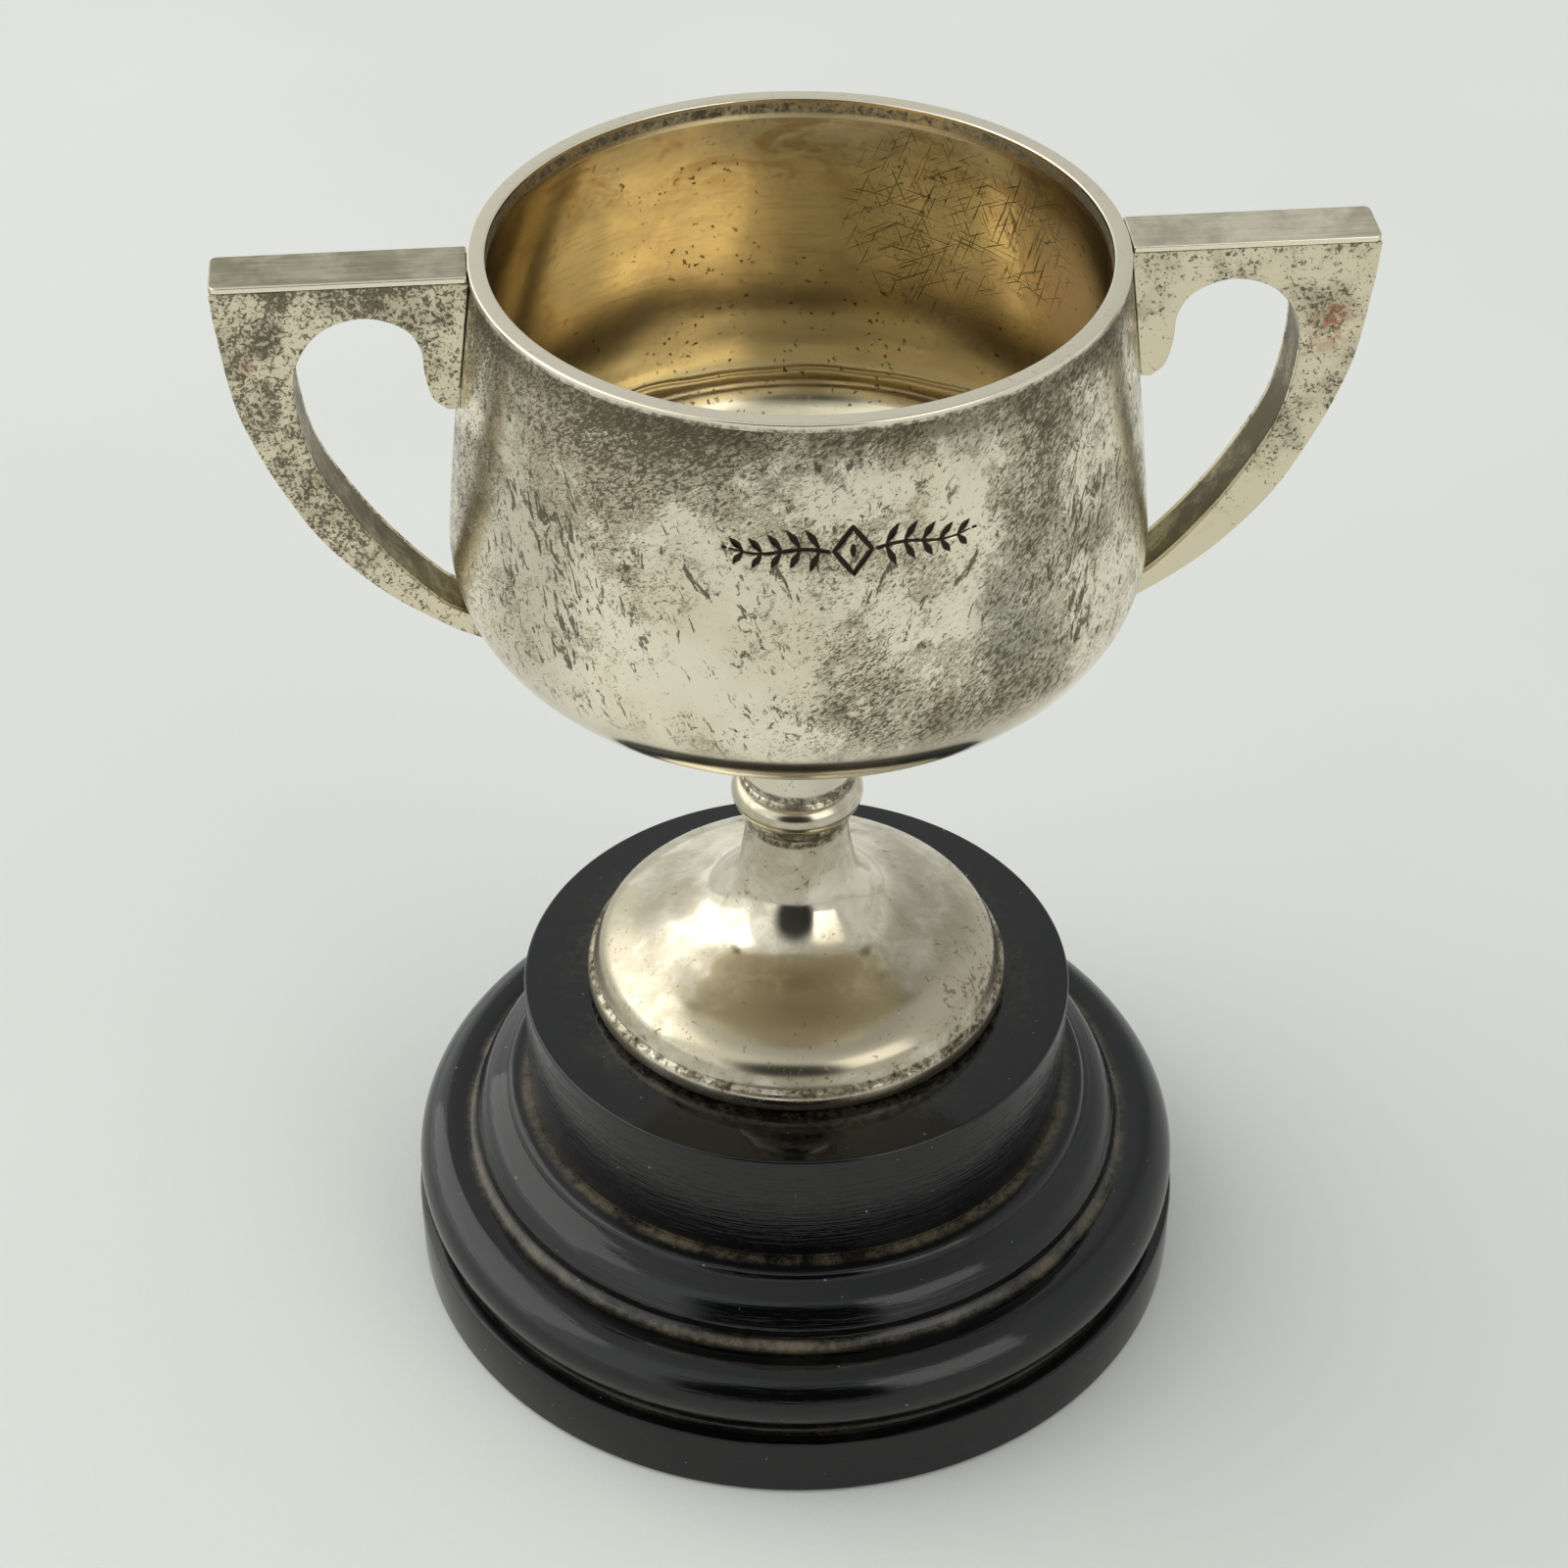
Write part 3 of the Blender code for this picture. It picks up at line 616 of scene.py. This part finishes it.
BOWL_TOP = 148.6
BOWL_BOTTOM = 92.9
BOWL_LINE = [
    (36.4, BOWL_TOP), (37.4, 141.2), (39.0, 128.5), (40.2, 117.2), (40.5, 113.2), (40.05, 109.8),
    (38.95, 107.0), (37.0, 104.2), (33.6, 101.3), (27.0, 98.3), (14.0, 94.3), (0.0, BOWL_BOTTOM),
]
SHEET = 0.8                   # thickness of the bowl's and the foot's silver
CUT_ANGLE = 3.0               # middle of the engraving, degrees right of the front
CUT_HEIGHT = 135.0
CUT_RADIUS = 38.2             # of the wall at the engraving
CUT_REACH = 14.4              # half the width of the finely meshed wall round it
CUT_DEPTH = 0.16
CUT_STEP = 0.16               # between columns of the mesh there
LAP_HEIGHT = 109.6            # of the solder line inside, where the wall laps over the bottom


def spray():
    """Strokes of the engraved ornament: a lozenge between two leafy sprays.

    Each stroke is (points, half width at its start, middle and end), in mm about its middle.
    """
    strokes = []
    lozenge = [(0, 2.7), (2.0, 0), (0, -2.7), (-2.0, 0), (0, 2.7)]
    for a, b in zip(lozenge, lozenge[1:]):
        strokes.append(([a, b], 0.34, 0.46, 0.34))
    strokes.append(([(0, 0.5), (0, -0.5)], 0.34, 0.50, 0.34))
    for side in (-1, 1):
        stem = []
        for i in range(23):
            run = 2.6 + i * 0.47
            stem.append((side * run, 0.32 * math.sin((run - 2.6) * 0.62)))
        strokes.append((stem, 0.34, 0.30, 0.20))
        for i in range(5):
            run = 3.5 + i * 2.0
            lift = 0.32 * math.sin((run - 2.6) * 0.62)
            reach = 2.5 - 0.25 * i
            for way in (-1, 1):
                leaf = []
                for k in range(6):
                    t = k / 5
                    leaf.append((side * (run + 1.35 * t + 0.25 * way * t * t),
                                 lift + way * reach * t ** 0.85))
                strokes.append((leaf, 0.20, 0.58, 0.10))
        strokes.append(([(side * 13.3, 0.1), (side * 13.7, 0.1)], 0.25, 0.30, 0.25))
    return strokes


def cut_depth(along, up):
    """How deep the graver went at points of the wall, from 0 to 1 (numpy arrays, mm)."""
    depth = np.zeros_like(along)
    for points, first, middle, last in spray():
        length = len(points) - 1
        for k in range(length):
            ax, ay = points[k]
            bx, by = points[k + 1]
            dx, dy = bx - ax, by - ay
            t = np.clip(((along - ax) * dx + (up - ay) * dy) / (dx * dx + dy * dy), 0, 1)
            far = np.hypot(along - ax - t * dx, up - ay - t * dy)
            share = (k + t) / length
            half = np.where(share < 0.5, first + (middle - first) * 2 * share,
                            middle + (last - middle) * (2 * share - 1))
            stroke = np.clip(1 - far / half, 0, 1) * np.clip(half / 0.3, 0.5, 1.2)
            depth = np.maximum(depth, stroke)
    return depth


def falling(*runs):
    """Heights going down in runs of (from, to, step)."""
    heights = []
    for high, low, step in runs:
        heights += list(np.arange(high, low, -step))
    return heights


def make_bowl():
    """Raised bowl in one piece: engraved and silvered outside, gilt and soldered inside.

    Its mesh is finest across the engraving and along the solder.
    """
    line = smooth_line(BOWL_LINE, 24)
    outer = respaced(line, falling((BOWL_TOP, 138.6, 0.7), (138.6, 131.4, 0.15), (131.4, 112, 0.7),
                                   (112, 99, 0.4)))
    outer += [p for p in line if p[1] < 98.9][::4]
    if outer[-1][0] > 1e-6:
        outer.append((0.0, BOWL_BOTTOM))
    inner_line = moved_line(line, -SHEET)
    inner_line = [(max(r, 0.0), z) for r, z in inner_line]
    inner_line[-1] = (0.0, BOWL_BOTTOM + SHEET)
    inner = respaced(inner_line, falling((BOWL_TOP, 111.5, 1.0), (111.5, 106.0, 0.16),
                                         (106.0, 100.0, 0.5)))
    inner += [p for p in inner_line if p[1] < 99.8][::4]
    inner.append((0.0, BOWL_BOTTOM + SHEET))
    fine_step = math.degrees(CUT_STEP / CUT_RADIUS)
    reach = math.degrees(CUT_REACH / CUT_RADIUS)
    angles = list(np.arange(CUT_ANGLE - reach, CUT_ANGLE + reach, fine_step))
    angles += list(np.linspace(CUT_ANGLE + reach, CUT_ANGLE - reach + 360, 190)[:-1])
    turn = np.radians(np.array(angles))
    columns = len(turn)
    section = np.array(outer + inner[::-1], float)
    count = len(section)
    outside = len(outer)
    r = np.repeat(section[:, 0][None, :], columns, 0)
    z = np.repeat(section[:, 1][None, :], columns, 0)
    t = np.repeat(turn[:, None], count, 1)
    along = (np.degrees(t) - CUT_ANGLE) * math.radians(1) * CUT_RADIUS
    cut = np.where(np.arange(count)[None, :] < outside, cut_depth(along, z - CUT_HEIGHT), 0.0)
    r = r - CUT_DEPTH * cut
    # Inside, the wall laps over the bottom: a raised, slightly wavy line of solder
    wave = LAP_HEIGHT + 0.22 * np.sin(3 * t + 1.0)
    wave = wave + 0.13 * np.sin(11 * t) + 0.09 * np.sin(23 * t + 2)
    lap = 1 / (1 + np.exp(-(z - wave) / 0.10))
    bead = np.exp(-((z - wave) / 0.28) ** 2)
    second = np.exp(-((z - 107.7 - 0.1 * np.sin(5 * t)) / 0.25) ** 2)
    low_wall = np.exp(-((z - wave) / 3.5) ** 2)
    inside_shift = 0.10 * lap * low_wall + 0.10 * bead + 0.03 * second
    soldered = (np.arange(count)[None, :] >= outside) & (z < 113) & (z > 105)
    r = np.where(soldered, r - inside_shift, r)
    vertices = np.stack([r * np.sin(t), -r * np.cos(t), z], -1).reshape(-1, 3)
    faces = ring_faces(columns, section)
    bowl = add_piece("bowl_shell", vertices, faces, [bowl_metal, gilt_metal], "cup",
                     ("bowl_wall", "bowl_bottom"), 60)
    mesh = bowl.data
    co = np.zeros(len(mesh.vertices) * 3)
    mesh.vertices.foreach_get("co", co)
    co = co.reshape(-1, 3) / MM
    turn = np.degrees(np.arctan2(co[:, 0], -co[:, 1]))
    far = np.hypot(co[:, 0], co[:, 1])
    wall = np.interp(co[:, 2], [p[1] for p in line][::-1], [p[0] for p in line][::-1])
    near = np.abs(far - wall) < 0.45
    depth = cut_depth((turn - CUT_ANGLE) * math.radians(1) * CUT_RADIUS, co[:, 2] - CUT_HEIGHT)
    engraved = mesh.attributes.new("engraved", "FLOAT", "POINT")
    engraved.data.foreach_set("value", np.where(near, np.clip(depth * 1.6, 0, 1), 0.0))
    # Faces that look towards the axis, or up from the floor, are gilt
    for face in mesh.polygons:
        x, y, height = face.center / MM
        inward = face.normal.x * x + face.normal.y * y < 0
        gilded = inward and height < 148.5 or face.normal.z > 0.35 and height < 112
        face.material_index = 1 if gilded else 0


make_bowl()

rim = softened([
    (34.5, 149.5), (36.5, 149.5), (36.52, 148.55), (36.3, 148.4), (35.35, 148.4),
    (35.35, 146.8), (34.5, 146.8),
], 0.28, 6)
turned("rim_band", rim, rim_metal, "cup", ("rim_wire",), 256, 0.02)


# ---- stem and foot

turned("stem_tube_fine", softened([
    (6.75, 93.2), (6.75, 75.4), (5.95, 75.4), (5.95, 93.2),
], 0.1), stem_metal, "cup", ("stem_tube",), 128)
solder = smooth_line([(6.6, 75.9), (6.85, 75.75), (7.2, 75.2)], 3)
turned("stem_solder", solder + [(5.95, 75.2), (5.95, 75.9)], stem_metal, "cup", (),
       96, 0.03)
collar = smooth_line([(6.65, 91.6), (6.9, 92.6), (7.9, 93.4)], 4)
turned("stem_collar", collar + [(5.95, 93.4), (5.95, 91.6)], stem_metal, "cup", (),
       96, 0.03)
bead = arc((5.85, 73.2), 2.35, 88, -88, 20)
turned("knop_bead", bead + [(5.4, 70.9), (5.4, 75.5)], stem_metal, "cup", ("knop",),
       160)
ring = smooth_line([(6.25, 70.95), (6.65, 70.2), (6.35, 69.45)], 5)
turned("neck_ring_fine", ring + [(5.4, 69.45), (5.4, 70.95)], stem_metal, "cup",
       ("neck_ring",), 128)

trumpet = smooth_line([
    (6.25, 69.5), (6.8, 64.8), (8.2, 59.6), (11.5, 55.4), (16.5, 53.2), (21.5, 51.4),
    (24.8, 49.2), (26.15, 46.3),
], 12)
turned("foot_shell", trumpet + moved_line(trumpet, -SHEET)[::-1], foot_metal, "cup",
       ("foot",), 256)
foot_bead = smooth_line([
    (26.1, 46.25), (26.75, 45.7), (27.0, 44.6), (26.8, 43.6), (26.3, 43.1),
], 5)
turned("foot_bead", foot_bead + [(24.8, 43.1), (24.8, 46.2)], foot_metal, "cup",
       ("foot_rim",), 256)


# ---- handles

def bowl_radius(height):
    """Radius of the bowl's outside at a height on its wall."""
    points = smooth_line(BOWL_LINE[:7], 8)
    return float(np.interp(height, [p[1] for p in points][::-1], [p[0] for p in points][::-1]))


def make_handle(side, turn):
    """Box-section handle: side plates, top strip, and strips closing both curved edges."""
    reach = 64.4
    top = 149.3
    sheet = 0.8
    half = 3.5                # of the handle's width
    outer = [(reach, top - sheet)] + smooth_line([
        (64.2, 144.8), (63.1, 135.5), (61.4, 129.3), (58.5, 122.4), (54.4, 115.2),
        (48.0, 108.1), (40.6, 102.7), (35.4, 100.2),
    ], 8)
    opening = smooth_line([
        (39.1, 104.7), (41.7, 106.4), (46.3, 111.6), (50.8, 118.1), (54.9, 126.2),
        (56.3, 134.6), (55.6, 139.6), (52.6, 143.4), (48.0, 144.7), (43.9, 143.3),
        (42.1, 140.6), (41.8, 137.2), (41.1, 134.2), (39.6, 132.7),
    ], 8)
    lug = []
    for i in range(13):
        height = opening[-1][1] + (top - sheet - opening[-1][1]) * i / 12
        lug.append((bowl_radius(min(height, BOWL_TOP)) - 0.05, height))
    outline = outer + [(35.0, 101.6), (37.2, 103.6)] + opening + lug
    front = -1 if turn == 0 else 1
    for face, way in (("front", front), ("back", -front)):
        low, high = sorted((way * (half - sheet), way * half))
        plate(f"{side}_handle_{face}_side", outline, low, high, side_metal, turn,
              f"{side}_handle_{face}_plate", 0.13)
    inside = half - sheet - 0.01
    for edge, line in (("outer", outer), ("inner", opening)):
        plate(f"{side}_handle_{edge}_edge", line + moved_line(line, -sheet)[::-1], -inside,
              inside, inner_metal, turn, f"{side}_handle_{edge}_strip", 0.08)
    make_top(side, turn, reach, top, sheet, half)


def make_top(side, turn, reach, top, sheet, half):
    """Top strip, its outer corners rounded in plan and its edges worn."""
    start = 36.55
    corner = 0.9
    plan = [(start, -half)] + arc((reach - corner, -half + corner), corner, -90, 0, 6)
    plan += arc((reach - corner, half - corner), corner, 0, 90, 6) + [(start, half)]
    spin = Matrix.Rotation(turn, 3, "Z")
    count = len(plan)
    vertices = []
    for z in (top - sheet + 0.02, top):
        vertices += [tuple(spin @ Vector((x, y, z))) for x, y in plan]
    faces = [tuple(range(count))[::-1], tuple(range(count, 2 * count))]
    for i in range(count):
        j = (i + 1) % count
        faces.append((i, j, j + count, i + count))
    piece = add_piece(f"{side}_handle_top", vertices, faces, [top_metal], "cup",
                      (f"{side}_handle_top_strip",))
    soften_edges(piece, 0.2)


make_handle("right", 0.0)
make_handle("left", math.pi)


# ---- plinth

drum = softened([
    (35.25, 42.87), (35.25, 26.2), (14.0, 26.2), (14.0, 19.0), (2.8, 19.0), (2.8, 42.87),
], 0.45, 6)
turned("plinth_drum_fine", drum, black, "plinth", ("plinth_drum",), 256)
fillet = smooth_line([(35.0, 26.2), (36.6, 26.15), (37.7, 25.95), (38.1, 25.45), (38.25, 25.0)], 5)
slope = smooth_line([(38.6, 24.85), (40.9, 23.4), (42.4, 20.9)], 8)
cove = smooth_line([(42.5, 20.6), (42.5, 19.6), (43.4, 18.6), (44.6, 18.7)], 5)
torus = arc((45.4, 14.0), 5.0, 80, -45, 28)
groove = smooth_line([(48.75, 10.1), (48.4, 9.6), (48.6, 9.0)], 4)
fascia = [(50.3, 8.95), (50.65, 8.8), (50.8, 8.45), (50.8, 0.6), (50.6, 0.3)]
turned("plinth_base_fine", fillet + slope + cove + torus + groove + fascia + [
    (49.3, 0.3), (49.3, 0.9), (12.0, 0.9), (12.0, 13.0), (2.8, 13.0), (2.8, 18.7),
    (14.3, 18.7), (14.3, 26.2),
], black, "plinth", ("plinth_base",), 288)


def make_baize():
    """Ring of baize with a slightly uneven cut edge and nap."""
    steps = 192
    rows = 40
    inner = 13.0
    outer = 49.0
    vertices = []
    for layer in (0, 1):
        for i in range(steps):
            angle = i / steps * math.tau
            ragged = 0.10 * noise.noise(Vector((math.cos(angle) * 9, math.sin(angle) * 9, 2)))
            for k in range(rows + 1):
                r = inner + (outer - 0.12 + ragged - inner) * k / rows
                x, y = r * math.sin(angle), -r * math.cos(angle)
                lump = 0.05 * noise.noise(Vector((x * 0.35, y * 0.35, 5)))
                vertices.append((x, y, 0.6 if layer else 0.06 + lump))
    faces = []
    block = steps * (rows + 1)
    for i in range(steps):
        j = (i + 1) % steps
        for k in range(rows):
            a, b = i * (rows + 1) + k, j * (rows + 1) + k
            faces.append((a, b, b + 1, a + 1))
            faces.append((block + a, block + a + 1, block + b + 1, block + b))
        for k in (0, rows):
            a, b = i * (rows + 1) + k, j * (rows + 1) + k
            faces.append((a, b, block + b, block + a))
    piece = add_piece("baize_ring", vertices, faces, [cloth], "plinth", ("baize_disc",))


make_baize()


# ---- fixing

PITCH = 0.8                   # of the thread on the stud and in the nut


def make_stud():
    """Cheese-headed brass stud with a cut thread over its lower end."""
    steps = 48
    radius = 2.3
    low = 5.5                 # the thread starts here,
    high = 17.0               # and ends here
    rows = []
    height = low
    while height < high:
        rows.append(height)
        height += PITCH / 8
    vertices = []
    for z in rows:
        for i in range(steps):
            turn = i / steps
            phase = (z / PITCH - turn) % 1.0
            depth = 0.34 * abs(2 * phase - 1)
            ease = min(1.0, (z - low) / 0.6, (high - z) / 1.2)
            tip = 0.45 * max(0.0, 1 - (z - low) / 0.5)
            r = radius - depth * ease - tip
            vertices.append((r * math.sin(turn * math.tau), -r * math.cos(turn * math.tau), z))
    shank_and_head = [
        (radius, high), (radius, 45.4), (4.9, 45.4), (5.0, 45.5), (5.0, 46.5), (4.6, 46.9),
        (0.01, 46.9),
    ]
    for r, z in shank_and_head:
        vertices += [(r * math.sin(i / steps * math.tau), -r * math.cos(i / steps * math.tau), z)
                     for i in range(steps)]
    rings = len(vertices) // steps
    faces = [tuple(range(steps))]
    for k in range(rings - 1):
        for i in range(steps):
            j = (i + 1) % steps
            faces.append((k * steps + i, k * steps + j, (k + 1) * steps + j, (k + 1) * steps + i))
    faces.append(tuple((rings - 1) * steps + i for i in range(steps)))
    add_piece("fixing_stud_threaded", vertices, faces, [brass], "cup", ("fixing_stud",), 40)


def make_nut():
    """Hexagon nut with rounded chamfers at its corners and a threaded bore."""
    low = 7.2
    high = 11.2
    flats = 8.0               # across them
    bore = 2.6
    steps = 96
    rows = 32                 # down the thread
    rings = []
    for z in (low, low + 0.25, low + 0.5, low + 0.8, high - 0.8, high - 0.5, high - 0.25, high):
        inset = min(z - low, high - z)
        cone = flats / 2 - 0.1 + inset * 1.75
        ring = []
        for i in range(steps):
            turn = i / steps * math.tau
            sector = (turn + math.pi / 6) % (math.pi / 3) - math.pi / 6
            r = min(flats / 2 / math.cos(sector), cone)
            ring.append((r * math.cos(turn), r * math.sin(turn), z))
        rings.append(ring)
    for k in range(rows + 1):
        z = high - (high - low) * k / rows
        ring = []
        for i in range(steps):
            turn = i / steps
            phase = (z / PITCH - turn) % 1.0
            r = bore + 0.14 * abs(2 * phase - 1)
            if k in (0, rows):
                r = bore + 0.35
            ring.append((r * math.cos(turn * math.tau), r * math.sin(turn * math.tau), z))
        rings.append(ring)
    vertices = [v for ring in rings for v in ring]
    faces = []
    for k in range(len(rings)):
        m = (k + 1) % len(rings)
        for i in range(steps):
            j = (i + 1) % steps
            faces.append((k * steps + i, k * steps + j, m * steps + j, m * steps + i))
    add_piece("nut_threaded", vertices, faces, [steel], "nut", ("nut",), 30)


make_stud()
make_nut()
turned("washer_fine", softened([
    (8.0, 12.7), (8.0, 11.5), (2.6, 11.5), (2.6, 12.7),
], 0.12), steel, "washer", ("washer",), 96)
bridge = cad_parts["foot_bridge"]
bridge.data.materials.clear()
bridge.data.materials.append(brass)
for face in bridge.data.polygons:
    face.material_index = 0
soften_edges(bridge, 0.15, 2, 50, False)


# ---- floor, light and camera

def make_floor():
    """Plain pale floor, darker in front of the cup and far out to its sides: painted shadow, with a
    darker table beyond.
    """
    size = 6.0                # half of it, in metres
    cells = 60
    vertices = []
    for j in range(cells + 1):
        for i in range(cells + 1):
            vertices.append((size * (2 * i / cells - 1), size * (2 * j / cells - 1), 0.0))
    faces = []
    for j in range(cells):
        for i in range(cells):
            a = j * (cells + 1) + i
            faces.append((a, a + 1, a + cells + 2, a + cells + 1))
    mesh = bpy.data.meshes.new("floor")
    mesh.from_pydata(vertices, [], faces)
    floor = bpy.data.objects.new("floor", mesh)
    bpy.context.scene.collection.objects.link(floor)
    s = Surface("pale_floor")
    cloud = s.noise(s.place, 3, 0.5, 0.0, 1.0, 160.0)
    tooth = s.noise(s.place, 3, 0.6, 0.0, 2.0, 1.2)
    colour = s.mix(s.ramp(cloud, 0.3, 0.7), (0.79, 0.795, 0.77), (0.82, 0.825, 0.805))
    # Painted shadow, and a darker table beyond: the floor darkens with distance in front of the cup
    # and far out to its sides
    in_front = s.math("SUBTRACT", s.radius, s.times(s.ramp(s.y, -200, 300), 900))
    colour = s.mix(s.ramp(in_front, 230, 560, 0, 0.22), colour, (0.30, 0.30, 0.29))
    mesh.materials.append(s.finish(colour, 0.75, tooth, 0.05))


def towards(azimuth, elevation, distance):
    """Point seen from the cup at an angle from its front, towards the right-hand handle."""
    a, e = math.radians(azimuth), math.radians(elevation)
    return Vector((math.sin(a) * math.cos(e), -math.cos(a) * math.cos(e), math.sin(e))) * distance


def add_light(name, azimuth, elevation, distance, width, height, watts, colour):
    """Soft rectangular light, its sizes in metres, turned towards the middle of the cup."""
    data = bpy.data.lights.new(name, "AREA")
    data.shape = "RECTANGLE"
    data.size = width
    data.size_y = height
    data.energy = watts
    data.color = colour
    light = bpy.data.objects.new(name, data)
    bpy.context.scene.collection.objects.link(light)
    aim = Vector((0, 0, 0.08))
    light.location = aim + towards(azimuth, elevation, distance)
    light.rotation_euler = (aim - light.location).to_track_quat("-Z", "Y").to_euler()


def make_world():
    """Soft room light: brightest on the left, dim overhead, straight ahead and high behind."""
    world = bpy.data.worlds.new("studio")
    world.use_nodes = True
    bpy.context.scene.world = world
    tree = world.node_tree
    back = tree.nodes["Background"]
    place = tree.nodes.new("ShaderNodeTexCoord").outputs["Generated"]

    def along(direction, low, high, start, end):
        """Goes from start to end as the view turns towards a direction (cosines low to high)."""
        dot = tree.nodes.new("ShaderNodeVectorMath")
        dot.operation = "DOT_PRODUCT"
        tree.links.new(place, dot.inputs[0])
        dot.inputs[1].default_value = direction
        made = tree.nodes.new("ShaderNodeMapRange")
        made.interpolation_type = "SMOOTHSTEP"
        tree.links.new(dot.outputs["Value"], made.inputs["Value"])
        for key, value in (("From Min", low), ("From Max", high),
                           ("To Min", start), ("To Max", end)):
            made.inputs[key].default_value = value
        return made.outputs[0]

    def product(a, b):
        made = tree.nodes.new("ShaderNodeMath")
        made.operation = "MULTIPLY"
        tree.links.new(a, made.inputs[0])
        tree.links.new(b, made.inputs[1])
        return made.outputs[0]

    overhead = along((0, 0, 1), 0.70, 0.96, 1.0, 0.62)
    sides = along(towards(-100, 0, 1), -1.0, 1.0, 0.66, 1.22)
    front = along(towards(-8, 14, 1), 0.80, 0.94, 1.0, 0.04)
    behind = along(towards(165, 38, 1), 0.72, 0.95, 1.0, 0.62)
    light = product(product(overhead, sides), product(front, behind))
    level = tree.nodes.new("ShaderNodeMath")
    level.operation = "MULTIPLY"
    level.inputs[1].default_value = 1.03
    tree.links.new(light, level.inputs[0])
    # Seen directly, the room is plain and pale
    seen = tree.nodes.new("ShaderNodeMix")
    seen.data_type = "FLOAT"
    seen.inputs[3].default_value = 0.80
    ray = tree.nodes.new("ShaderNodeLightPath").outputs["Is Camera Ray"]
    tree.links.new(ray, seen.inputs[0])
    tree.links.new(level.outputs[0], seen.inputs[2])
    tree.links.new(seen.outputs[0], back.inputs["Strength"])
    back.inputs["Color"].default_value = (0.97, 1.0, 0.98, 1)


make_floor()
make_world()
add_light("window_left", -110, 33, 1.5, 1.90, 1.30, 7.4, (1.0, 0.985, 0.95))
add_light("window_right", 38, 27, 1.5, 0.95, 0.95, 3.4, (1.0, 0.98, 0.94))

lens = bpy.data.cameras.new("camera")
lens.lens = 77.04
lens.sensor_width = 36
lens.clip_start = 0.01
camera = bpy.data.objects.new("camera", lens)
bpy.context.scene.collection.objects.link(camera)
camera.location = (-0.03163, -0.32263, 0.33384)
right = Vector((0.9958, -0.0916, 0.0012)).normalized()
ahead = Vector((0.0722, 0.7765, -0.6260)).normalized()
above = right.cross(ahead)
camera.rotation_euler = Matrix((right, above, -ahead)).transposed().to_euler()
bpy.context.scene.camera = camera
bpy.context.scene.view_settings.view_transform = "Standard"
